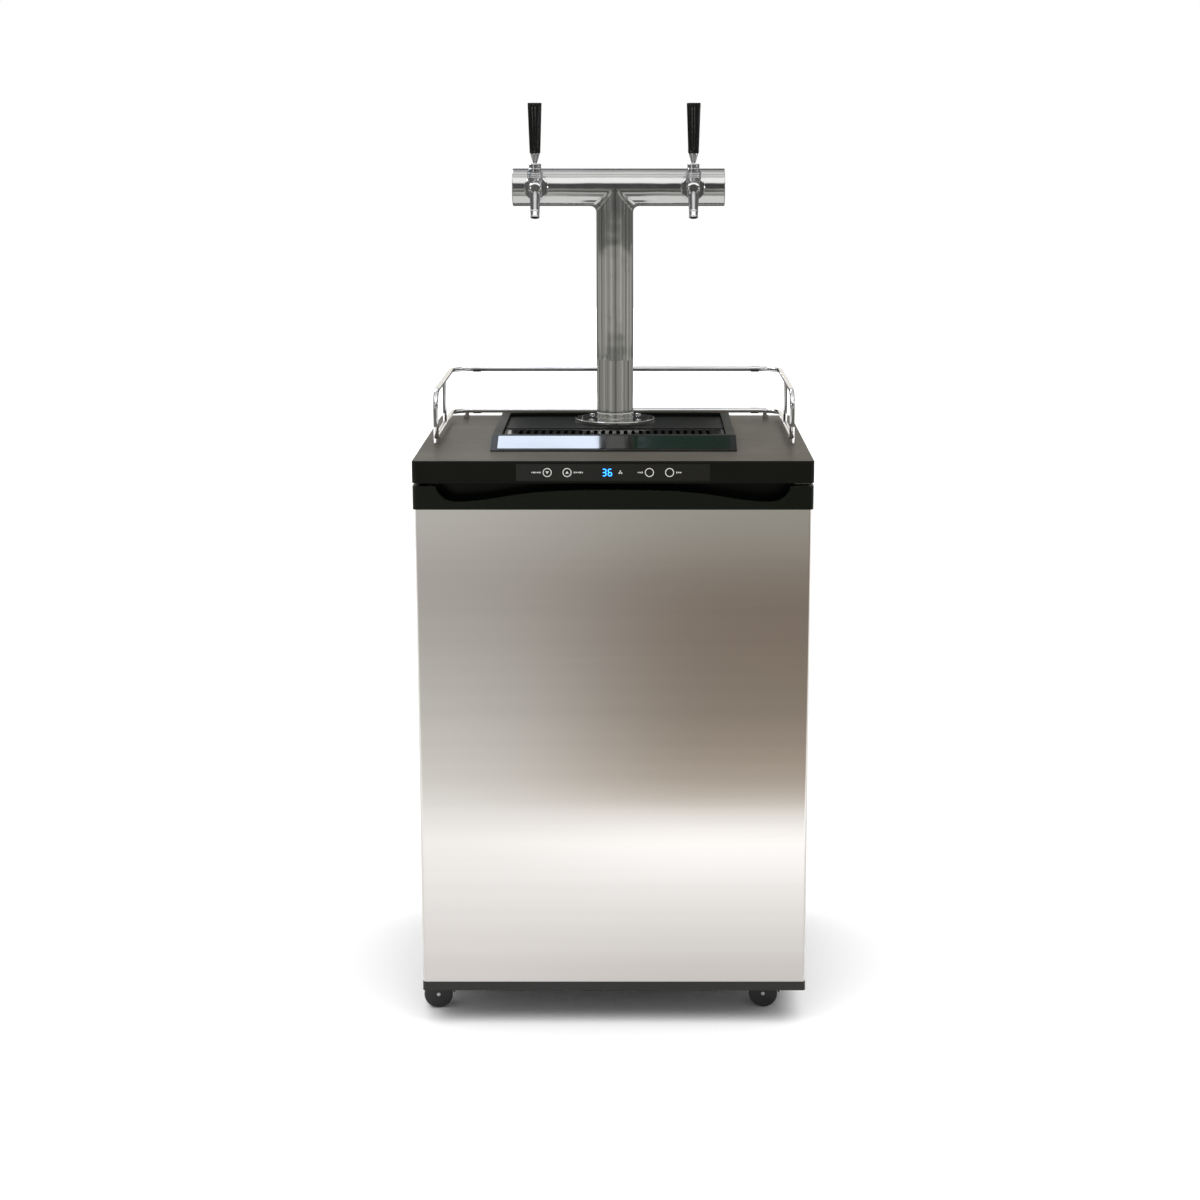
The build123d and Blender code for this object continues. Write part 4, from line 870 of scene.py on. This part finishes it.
def tap_rings(work):
    """Beads turned on the collar, the barrel's top and the spout of each tap."""
    for side in TAP_SIDES:
        x = centre(f"tap_handle_{side}").x
        y = centre(f"tap_lever_{side}").y
        for radius, width in ((18.3 * MM, 1.6 * MM), (16.2 * MM, 0.9 * MM)):
            inner, outer = radius - width / 2, radius + width / 2
            ring = [(inner, -0.2 * MM), (inner, 0.3 * MM), (radius, 0.9 * MM),
                    (outer, 0.3 * MM), (outer, -0.2 * MM), (inner, -0.2 * MM)]
            lathe(work, ring, (x, COLLAR_FACE, BAR_Z), (0, -1, 0), 64)
        for height in (17.6, 20.6, 23.6):
            lathe(work, bead(BARREL_R, height * MM, 2.2 * MM, 0.55 * MM), (x, y, BAR_Z), steps=64)
        for place, rise in ((38, 0.6), (46.6, 0.35)):
            lathe(work, bead(SPOUT_R, place * MM, 2.0 * MM, rise * MM), spout_root(x, y),
                  SPOUT_DOWN, 48)


def tap_mouths(work):
    """A black cup just inside the mouth of each spout: painted shade in place of the shade inside the spout's
    bore.
    """
    low, high = SPOUT_LENGTH - 12 * MM, SPOUT_LENGTH - MM
    outer, inner = 5.38 * MM, 5.1 * MM
    for side in TAP_SIDES:
        profile = [(0, low), (outer, low), (outer, high), (inner, high), (inner, low + MM),
                   (0, low + MM)]
        middle = centre(f"tap_lever_{side}")
        lathe(work, profile, spout_root(middle.x, middle.y), SPOUT_DOWN, 48)


class KEG_OT_handles(bpy.types.Operator):
    """Makes the fluted grips of the two taps, the beads of their bodies and the painted shade inside their spouts'
    mouths
    """

    bl_idname = "kegerator.handles"
    bl_label = "Tap handles"

    def execute(self, context):
        tower = settings("tower")
        group = fluted_grip_tree()
        for side in TAP_SIDES:
            low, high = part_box(f"tap_handle_{side}")
            middle = (low + high) / 2
            head = (high.x - low.x) / 2
            grip = grow(
                f"tap_grip_{side}", None, group, "grip_plastic",
                {"Foot Radius": head * 0.76, "Head Radius": head, "Height": high.z - low.z,
                 "Flutes": tower.flutes, "Flute Depth": tower.flute_depth,
                 "Place": (middle.x, middle.y, low.z)},
                f"tap_pull_{side}", "black_plastic", 50,
            )
            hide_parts(f"tap_handle_{side}")
        make_piece("tap_rings", tap_rings, "chrome")
        # Painted shade: black cups inside the spouts' mouths.
        make_piece("tap_mouths", tap_mouths, "black_rubber")
        return {"FINISHED"}


# ---- Controls
SEGMENTS = {
    0: "abcdef", 1: "bc", 2: "abged", 3: "abgcd", 4: "fgbc", 5: "afgcd", 6: "afgedc",
    7: "abc", 8: "abcdefg", 9: "abcdfg",
}


def segment_bars(height):
    """Middle, half length and upright flag of each bar of a seven-bar digit."""
    half = height / 2
    wide = height * 0.25
    return {
        "a": (0, half, wide, False), "g": (0, 0, wide, False), "d": (0, -half, wide, False),
        "b": (wide, half / 2, half / 2, True), "c": (wide, -half / 2, half / 2, True),
        "f": (-wide, half / 2, half / 2, True), "e": (-wide, -half / 2, half / 2, True),
    }


def bar_outline(half, thick, upright):
    """A bar with pointed ends."""
    gap = thick * 0.35
    points = [
        (-half + gap, 0), (-half + gap + thick, -thick), (half - gap - thick, -thick),
        (half - gap, 0), (half - gap - thick, thick), (-half + gap + thick, thick),
    ]
    return [(pz, -px) for px, pz in points] if upright else points


def digit_plates(work, number, x, z, height, y_back, y_front):
    """The lit bars of a two-figure number."""
    for place, figure in enumerate(f"{number:02d}"):
        middle = x + (place - 0.5) * height * 0.86
        for key, (bx, bz, half, upright) in segment_bars(height).items():
            if key in SEGMENTS[int(figure)]:
                outline = bar_outline(half, height * 0.062, upright)
                front_plate(work, outline, middle + bx, z + bz, y_back, y_front)


def ring_plate(work, x, z, outer, inner, y_back, y_front):
    """A flat printed ring."""
    lathe(
        work,
        [(inner, 0), (outer, 0), (outer, y_back - y_front), (inner, y_back - y_front),
         (inner, 0)],
        (x, y_back, z), (0, -1, 0), 48,
    )


BUTTONS = ("cooler", "warmer", "light", "power")
DISPLAY_X = -7 * MM


def panel_middle():
    """Height of the middle of the control panel."""
    return (PANEL_LOW.z + PANEL_HIGH.z) / 2


def legends(work):
    """The status mark and the short printed dashes beside the buttons."""
    face, z = PANEL_LOW.y, panel_middle()
    for turn in range(3):
        angle = pi / 2 + 2 * pi / 3 * turn
        outline = [
            (reach * MM * cos(angle + lean), reach * MM * sin(angle + lean))
            for reach, lean in ((0.4, -1.2), (3.2, -0.42), (3.2, 0.42), (0.4, 1.2))
        ]
        front_plate(work, outline, DISPLAY_X + 18 * MM, z, face, face - 2 * TINY)
    for name, step, count in (
        ("cooler", -1, 5), ("warmer", 1, 5), ("light", -1, 3), ("power", 1, 3)
    ):
        x = centre(f"button_{name}").x + step * 11 * MM
        for dash in range(count):
            wide = (1.1 if dash % 2 else 0.8) * MM
            tall = (0.9 if dash % 3 else 1.3) * MM
            outline = rounded_outline(wide, tall, 0.3 * MM, 2)
            front_plate(work, outline, x + step * dash * 3 * MM, z, face, face - 2 * TINY)


def button_mark(work, name):
    """The button's ring, and an arrow on the two that set the temperature."""
    low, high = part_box(f"button_{name}")
    middle = (low + high) / 2
    radius = (high.x - low.x) / 2
    back, front = low.y + TINY, low.y - TINY
    ring_plate(work, middle.x, middle.z, radius - 0.2 * MM, radius - 1.5 * MM, back, front)
    flip = {"cooler": -1, "warmer": 1}.get(name)
    if flip:
        outline = [
            (flip * px * MM, flip * pz * MM) for px, pz in ((-2.6, -1.8), (2.6, -1.8), (0, 2.4))
        ]
        front_plate(work, outline, middle.x, middle.z, back, front)


class KEG_OT_controls(bpy.types.Operator):
    """Adds the display, its lit digits and the printed marks of the fascia"""

    bl_idname = "kegerator.controls"
    bl_label = "Controls"

    def execute(self, context):
        controls = settings("controls")
        face, z = PANEL_LOW.y, panel_middle()
        window = rounded_outline(24 * MM, 9.5 * MM, 2 * MM)
        make_piece(
            "display_lens",
            lambda work: front_plate(
                work, window, DISPLAY_X, z, face + TINY, face - TINY, TINY / 2
            ),
            "gloss_black",
        )
        make_piece(
            "display_digits",
            lambda work: digit_plates(
                work, controls.shown, DISPLAY_X - 2 * MM, z, controls.digit_height, face,
                face - 2.2 * TINY,
            ),
            "lit_digits", slot="gloss_black",
        )
        make_piece("legends", legends, "legend_print", slot="gloss_black")
        for name in BUTTONS:
            make_piece(
                f"button_mark_{name}", lambda work: button_mark(work, name), "legend_print",
                f"button_{name}", "gloss_black",
            )
        return {"FINISHED"}


# ---- Castors
CAP_REACH = 17.5 * MM


def turned_pair(work, points, hub, axle, steps):
    """One turned shape on each outer side of the twin wheels, from millimetre points."""
    profile = [(radius * MM, CAP_REACH + height * MM) for radius, height in points]
    for side in (-1, 1):
        lathe(work, profile, hub, axle * side, steps)


class KEG_OT_castors(bpy.types.Operator):
    """Adds hub caps and axle heads to the castors"""

    bl_idname = "kegerator.castors"
    bl_label = "Castors"

    def execute(self, context):
        hub_cap = ((4.4, -1.6), (15, -1.6), (15, -0.4), (13.6, 0), (12, -0.7), (5.4, -0.7),
                   (4.4, 0), (4.4, -1.6))
        axle_head = ((0, -1), (3.9, -1), (3.9, -0.5), (3.0, 0), (0, 0.2))
        for castor in CASTORS:
            joint = next(j for j in frame["joints"] if j["name"] == f"roll_{castor}")
            hub, axle = Vector(joint["pos_m"]), Vector(joint["axis"])
            for name, points, steps, finish in (
                ("hub_caps", hub_cap, 40, "castor_wheel"),
                ("axle_heads", axle_head, 24, "galvanised_steel"),
            ):
                make_piece(
                    f"{name}_{castor}", lambda work: turned_pair(work, points, hub, axle, steps),
                    finish, f"wheels_{castor}",
                )
        return {"FINISHED"}


# ---- Screws
def screw_head(work, radius, rise):
    """A domed head with a round socket, standing on z = 0."""
    steps = 6
    profile = [(0, -0.3 * MM), (radius, -0.3 * MM)]
    profile += [
        (radius * cos(pi / 2 * step / steps * 0.8), rise * sin(pi / 2 * step / steps))
        for step in range(steps + 1)
    ]
    profile += [(radius * 0.3, rise), (radius * 0.3, rise * 0.45), (0, rise * 0.45)]
    lathe(work, profile, (0, 0, 0), steps=18)


class KEG_OT_screws(bpy.types.Operator):
    """Places the screws of the flange and of the rear panel"""

    bl_idname = "kegerator.screws"
    bl_label = "Screws"

    def execute(self, context):
        group = part_on_points_tree()
        radius = settings("cabinet").screw_radius
        head = object_from(
            "screw_pattern", mesh_from("screw_head", lambda work: screw_head(work, radius, 2 * MM))
        )
        ring = (FLANGE_HIGH.x - FLANGE_LOW.x) / 2 - 11.5 * MM
        flange = [
            (ring * cos(angle), TOWER_Y + ring * sin(angle), FLANGE_HIGH.z)
            for angle in (pi / 4 + pi / 2 * i for i in range(4))
        ]
        lowest, highest, rows = REAR_LOW.z + 20 * MM, REAR_HIGH.z - 34 * MM, 5
        panel = [
            (x, REAR_HIGH.y, lowest + (highest - lowest) * row / (rows - 1))
            for row in range(rows) for x in (REAR_LOW.x + 14 * MM, REAR_HIGH.x - 14 * MM)
        ]
        for name, points, facing, slot in (
            ("flange_screws", flange, (0, 0, 1), "chrome"),
            ("rear_panel_screws", panel, (0, 1, 0), "galvanised_steel"),
        ):
            seed = point_mesh(name, points, facing)
            grow(name, seed, group, slot, {"Part": head, "Scale": 1.0}, sharp=40)
        bpy.data.objects.remove(head)
        return {"FINISHED"}


# ---- Cooling
class KEG_OT_condenser(bpy.types.Operator):
    """Makes the wire-and-tube condenser on the back"""

    bl_idname = "kegerator.condenser"
    bl_label = "Condenser"

    def execute(self, context):
        cooling = settings("cooling")
        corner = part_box("condenser")[1]
        tube_r, wire_r, bend = 3 * MM, cooling.wire_radius, 26 * MM
        tube_y = corner.y - 5.7 * MM
        rows, pitch, first_z, run = 9, 56 * MM, 350 * MM, 235 * MM
        last_z = first_z + pitch * (rows - 1)
        path = []
        for row in range(rows):
            way = -1 if row % 2 == 0 else 1
            path += [(end * run, tube_y, first_z + pitch * row) for end in (way, -way)]
        tube = grow(
            "condenser_tube", polyline("condenser_path", path), tube_tree(), "black_enamel",
            {"Tube Radius": tube_r, "Bend Radius": bend},
        )
        group = wire_row_tree()
        bottom, top = first_z - 8 * MM, last_z + 8 * MM
        reach = corner.x - tube_r - 34 * MM
        for name, side in (("back", 1), ("front", -1)):
            y = tube_y + side * (tube_r + wire_r * 0.8)
            grow(
                f"condenser_wires_{name}", None, group, "black_enamel",
                {"Count": cooling.wires, "Start": (-reach, y, (bottom + top) / 2),
                 "Step": (2 * reach / (cooling.wires - 1), 0, 0), "Height": top - bottom,
                 "Wire Radius": wire_r},
            )

        def brackets(work):
            """Stand-offs with a foot each that hold the coil off the rear panel."""
            y = CABINET_BACK
            for x in (-222 * MM, 222 * MM):
                for z in (first_z, last_z):
                    for wide, tall, end, bevel in (
                        (5 * MM, 8 * MM, y + 1.5 * MM, 0.4 * MM),
                        (0.8 * MM, 6 * MM, tube_y + MM, 0.3 * MM),
                    ):
                        block(work, (x - wide, y, z - tall), (x + wide, end, z + tall), bevel)

        make_piece("condenser_brackets", brackets, "galvanised_steel")
        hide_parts("condenser")
        return {"FINISHED"}


# ---- Stage


def streaks(tree, vector, dark, light):
    """Tones that change with the compass direction only."""
    x, y, _ = split(tree, vector)
    around = add_node(tree, "ShaderNodeCombineXYZ", {0: reckon(tree, "ARCTAN2", x, y)})
    noise = add_node(
        tree, "ShaderNodeTexNoise", {"Vector": around.outputs[0], "Scale": 3.4, "Detail": 2.5}
    )
    return ranged(tree, noise.outputs["Fac"], 0.36, 0.66, dark, light)


def card(name, corners, tone, strength=1.0, varied=False):
    """A studio card that only shows in reflections, seen from the side it faces."""
    mesh = bpy.data.meshes.new(name)
    mesh.from_pydata(corners, [], [tuple(range(len(corners)))])
    material = bpy.data.materials.new(name)
    material.use_nodes = True
    tree = material.node_tree
    tree.nodes.remove(tree.nodes["Principled BSDF"])
    if varied:
        round_tower = add_node(
            tree, "ShaderNodeVectorMath", {0: object_place(tree), 1: (0, -TOWER_Y, 0)},
            operation="ADD",
        )
        strength = streaks(tree, round_tower.outputs[0], strength * 0.45, strength * 1.7)
    glow = add_node(tree, "ShaderNodeEmission", {"Color": (*tone, 1), "Strength": strength})
    side = add_node(tree, "ShaderNodeNewGeometry")
    clear = add_node(tree, "ShaderNodeBsdfTransparent")
    seen = add_node(
        tree, "ShaderNodeMixShader",
        {0: side.outputs["Backfacing"], 1: glow.outputs[0], 2: clear.outputs[0]},
    )
    tree.links.new(seen.outputs[0], tree.nodes["Material Output"].inputs["Surface"])
    piece = object_from(name, mesh, material)
    for ray in ("camera", "shadow", "diffuse", "transmission"):
        setattr(piece, f"visible_{ray}", False)
    return piece


def level_card(name, low, high, z, tone, varied=False):
    """A level card between two corners, that faces up."""
    corners = [(*low, z), (high[0], low[1], z), (*high, z), (low[0], high[1], z)]
    return card(name, corners, tone, 1.0, varied)


def upright_card(name, first, second, low, high, tone, varied=False):
    """An upright card between two points on the ground, seen from its right-hand side."""
    corners = [(*first, low), (*second, low), (*second, high), (*first, high)]
    return card(name, corners, tone, 1.0, varied)


# Tones of the floor that the door mirrors, by metres ahead of the door
MIRROR_LEFT = (
    (0.2, (1.07, 1.04, 1.05)), (0.67, (1.38, 1.36, 1.38)), (0.95, (1.56, 1.54, 1.56)),
    (1.2, (1.25, 1.23, 1.22)), (1.32, (1.04, 1.02, 0.99)), (2.2, (0.76, 0.75, 0.72)),
    (3.7, (0.54, 0.51, 0.49)), (4.5, (0.78, 0.77, 0.74)),
)
MIRROR_RIGHT = (
    (0.2, (0.96, 0.93, 0.93)), (0.67, (1.42, 1.41, 1.43)), (0.93, (1.85, 1.85, 1.9)),
    (1.13, (1.45, 1.42, 1.40)), (1.23, (0.66, 0.57, 0.47)), (1.9, (0.37, 0.31, 0.255)),
    (3.6, (0.26, 0.20, 0.165)), (4.4, (0.50, 0.49, 0.44)),
)
MIRROR_REACH = 6.0
MIRROR_GAIN = 1.9


def mirrored_floor(front, view_distance):
    """The sheet on the floor that gives the door its bright foot and its warm right side."""
    piece = level_card("floor_card", (-5, front - 14), (5, front - 0.05), 0.002, grey(1.0))
    tree = piece.data.materials[0].node_tree
    glow = tree.nodes["Emission"]
    glow.inputs["Strength"].default_value = MIRROR_GAIN
    x, y, _ = split(tree, object_place(tree))
    ahead = reckon(tree, "SUBTRACT", front, y)
    along = reckon(tree, "DIVIDE", ahead, MIRROR_REACH)
    spread = reckon(tree, "MULTIPLY_ADD", ahead, 1 / view_distance, 1.0)
    side = ranged(tree, reckon(tree, "DIVIDE", x, spread), -0.30, 0.14,
                  interpolation_type="SMOOTHSTEP")
    left, right = (
        ramp(tree, along, [
            (place / MIRROR_REACH, tuple(value / MIRROR_GAIN for value in tone))
            for place, tone in stops
        ])
        for stops in (MIRROR_LEFT, MIRROR_RIGHT)
    )
    tree.links.new(mixed(tree, side, left, right), glow.inputs["Color"])


def ramp(tree, value, stops):
    """The colour that a value has on a ramp of colour stops."""
    made = add_node(tree, "ShaderNodeValToRGB", {"Fac": value})
    elements = made.color_ramp.elements
    for element, (position, tone) in zip(elements, (stops[0], stops[-1])):
        element.position = position
        element.color = (*tone, 1)
    for position, tone in stops[1:-1]:
        elements.new(position).color = (*tone, 1)
    return made.outputs[0]


def background(tree, colour_in, strength=1.0):
    """One background shader."""
    return add_node(
        tree, "ShaderNodeBackground", {"Color": colour_in, "Strength": strength}
    ).outputs[0]


def studio_world():
    """White to look at and to light with; in reflections, dark in front and bright above."""
    world = bpy.data.worlds.new("studio")
    bpy.context.scene.world = world
    world.use_nodes = True
    tree = world.node_tree
    tree.nodes.clear()
    out = add_node(tree, "ShaderNodeOutputWorld")
    rays = add_node(tree, "ShaderNodeLightPath").outputs
    toward = add_node(tree, "ShaderNodeTexCoord").outputs["Generated"]
    _, y, z = split(tree, toward)
    front = ramp(tree, z, [(place, grey(tone)) for place, tone in (
        (0.0, 0.12), (0.40, 0.11), (0.52, 1.25), (0.86, 1.25), (0.93, 0.55), (0.97, 1.0),
        (1.0, 0.6),
    )])
    back = ramp(
        tree, z,
        [(0.0, (0.95, 0.92, 0.86)), (0.34, (0.8, 0.76, 0.70)), (0.55, grey(0.6)),
         (0.9, grey(0.5)), (1.0, grey(1.0))],
    )
    # The streaks end below the bright band overhead.
    calm = add_node(
        tree, "ShaderNodeMix",
        {0: ranged(tree, z, 0.3, 0.45), 2: streaks(tree, toward, 0.45, 1.7), 3: 1.0},
        data_type="FLOAT",
    )
    streaked = mixed(tree, 1.0, front, calm.outputs[0], blend_type="MULTIPLY")
    # The half behind is the one past an edge that moves back as it comes down.
    edge = ranged(tree, z, 0.3, 0.6, 0.86, 0.0)
    behind = ranged(tree, reckon(tree, "SUBTRACT", y, edge), 0.0, 0.1)
    mirrored = background(tree, mixed(tree, behind, streaked, back))
    white = (1, 1, 1, 1)
    lit = add_node(
        tree, "ShaderNodeMixShader",
        {0: rays["Is Diffuse Ray"], 1: background(tree, white),
         2: background(tree, white, settings("stage").fill)},
    )
    seen = add_node(
        tree, "ShaderNodeMixShader", {0: rays["Is Glossy Ray"], 1: lit.outputs[0], 2: mirrored}
    )
    tree.links.new(seen.outputs[0], out.inputs["Surface"])


def tower_cards(front):
    """Cards that only the tower, the taps and the rail mirror."""
    dark, paler, bright = (0.14, 0.14, 0.13), (0.23, 0.227, 0.213), grey(0.87)
    # Level sheets under the taps: bright under the cross tube, dark elsewhere, with a bright
    # strip ahead for the leaning spouts.
    sheet_z = HIGH.z * 0.65
    near, far, half, reach = front + 85 * MM, 0.32, 0.24, 12.0
    strip_far, strip_near = front - 0.36, front - 0.14
    for name, low, high, tone in (
        ("under_bar", (-half, near), (half, far), bright),
        ("under_spouts", (-0.6, strip_far), (0.6, strip_near), grey(0.55)),
        ("ahead", (-reach, -reach), (reach, strip_far), dark),
        ("between", (-half, strip_near), (half, near), shade(paler, 1.45)),
        ("behind", (-reach, far), (reach, reach), dark),
        ("left", (-reach, strip_far), (-half, far), dark),
        ("right", (half, strip_far), (reach, far), dark),
    ):
        level_card(f"sheet_{name}", low, high, sheet_z, tone, max(tone) < 0.5)
    # A low fence round the foot of the column keeps the bright sheet out of it, and paler
    # walls further away show in its lower half.
    foot, wall = 55 * MM, 0.9
    for name, left, ahead, right, behind, low, high, tone in (
        ("fence", -foot, TOWER_Y - foot, foot, TOWER_Y + foot, FLANGE_HIGH.z + MM,
         sheet_z + 85 * MM, shade(paler, 1.25)),
        ("pale_wall", -wall, front - wall, wall, wall, sheet_z, sheet_z + 0.21,
         shade(paler, 1.6)),
    ):
        for side, first, second in (
            ("front", (right, ahead), (left, ahead)), ("left", (left, ahead), (left, behind)),
            ("right", (right, behind), (right, ahead)),
        ):
            upright_card(f"{name}_{side}", first, second, low, high, tone, True)
    level_card("fence_floor", (-foot, TOWER_Y - foot), (foot, TOWER_Y + foot), sheet_z + MM,
               dark, True)
    # A dark strip right under the back rail draws its lower edge.
    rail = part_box("guard_rail_back")[1]
    level_card("rail_shade", (-rail.x, rail.y - 60 * MM), (rail.x, rail.y + 30 * MM),
               sheet_z + 40 * MM, grey(0.03))
    # Walls behind: one for the tray, and two bands close behind the cross tube's top edge.
    crest = BAR_Z + TUBE_R
    band = crest + 82 * MM
    for name, half, y, low, high, tone in (
        ("tray_wall", 0.193, 0.45, sheet_z, 1.12, 0.03),
        ("edge_wall", 0.21, TOWER_Y + 85 * MM, crest, band, 0.10),
        ("crest_wall", 0.21, TOWER_Y + 85 * MM, band, crest + 155 * MM, 0.42),
    ):
        upright_card(name, (-half, y), (half, y), low, high, grey(tone))
    # Bright upright strips that draw highlights down the two grips.
    middle = Vector((0, centre("tap_handle_left").y, 0))
    for name, turn, half in (("left", radians(-35), 0.16), ("right", radians(72), 0.22)):
        place = middle + Vector((sin(turn), -cos(turn), 0)) * 1.5
        step = Vector((-cos(turn), -sin(turn), 0)) * half
        upright_card(f"grip_light_{name}", (place - step).xy, (place + step).xy,
                     crest + 5 * MM, crest + 0.14, grey(5.0))


def tray_cards(front):
    """The leaning cards that the tray's front strip mirrors: bright on its left, dark right."""
    middle = Vector((0, front + 1.175, 2.12))
    along = Vector((0, -0.755, 0.656)) * 0.16
    for name, left, right, tone, strength in (
        ("bright", -1.2, 8 * MM, (0.765, 0.85, 1.0), 12.0),
        ("dark", 8 * MM, 0.27, (0.03, 0.10, 0.07), 2.0),
    ):
        left, right = Vector((left, 0, 0)), Vector((right, 0, 0))
        corners = [middle - along + right, middle + along + right, middle + along + left,
                   middle - along + left]
        card(f"strip_card_{name}", corners, tone, strength)


class KEG_OT_stage(bpy.types.Operator):
    """Sets up the floor, the lights, the surroundings and the camera"""

    bl_idname = "kegerator.stage"
    bl_label = "Stage"

    def execute(self, context):
        stage, scene = settings("stage"), context.scene
        scene.view_settings.view_transform = "Standard"
        front, reach = LOW.y, 14.0

        floor = bpy.data.meshes.new("floor")
        corners = [(x * reach, y * reach, 0) for x, y in ((-1, -1), (1, -1), (1, 1), (-1, 1))]
        floor.from_pydata(corners, [], [(0, 1, 2, 3)])
        tone = tuple(stage.floor_colour)
        material, tree, shader = start_material("floor", tone, 1.0, Specular_IOR_Level=0.0)
        tint(tree, shader, even_noise(tree, 3.0), shade(tone, 0.995), tone)
        object_from("floor", floor, material)
        mirrored_floor(front, stage.camera_distance)
        tower_cards(front)
        tray_cards(front)
        studio_world()

        # Wide overhead light that leans over from behind, so the shadow falls to the front
        light = bpy.data.lights.new("key_light", "SUN")
        light.energy, light.angle = stage.key_power, radians(75)
        lamp = bpy.data.objects.new("key_light", light)
        scene.collection.objects.link(lamp)
        lamp.rotation_euler = (radians(10), 0, 0)
        lamp.visible_glossy = False

        camera = bpy.data.cameras.new("camera")
        camera.lens, camera.sensor_width = stage.focal_length, 36
        camera.shift_x = stage.camera_shift
        view = bpy.data.objects.new("camera", camera)
        scene.collection.objects.link(view)
        view.location = (stage.camera_side, front - stage.camera_distance, stage.camera_height)
        view.rotation_euler = (pi / 2 - stage.camera_pitch, 0, 0)
        scene.camera = view
        return {"FINISHED"}


class KEG_PT_panel(bpy.types.Panel):
    """Lists the steps that build the kegerator"""

    bl_idname = "KEG_PT_panel"
    bl_label = "Kegerator"
    bl_space_type = "VIEW_3D"
    bl_region_type = "UI"
    bl_category = "Kegerator"

    def draw(self, context):
        for step in STEPS:
            self.layout.operator(step.bl_idname)
        for name, group in SETTING_GROUPS.items():
            box = self.layout.box()
            box.label(text=name.capitalize())
            for key in group.__annotations__:
                box.prop(settings(name), key)


STEPS = (
    KEG_OT_finishes, KEG_OT_tower, KEG_OT_handles, KEG_OT_controls, KEG_OT_castors,
    KEG_OT_screws, KEG_OT_condenser, KEG_OT_stage,
)
CLASSES = (*SETTING_GROUPS.values(), *STEPS, KEG_PT_panel)


def register():
    for item in CLASSES:
        bpy.utils.register_class(item)
    for name, group in SETTING_GROUPS.items():
        setattr(bpy.types.Scene, f"kegerator_{name}", bpy.props.PointerProperty(type=group))


def unregister():
    for name in SETTING_GROUPS:
        delattr(bpy.types.Scene, f"kegerator_{name}")
    for item in reversed(CLASSES):
        bpy.utils.unregister_class(item)


def main():
    register()
    for step in STEPS:
        package, name = step.bl_idname.split(".")
        getattr(getattr(bpy.ops, package), name)()


if __name__ == "__main__":
    main()
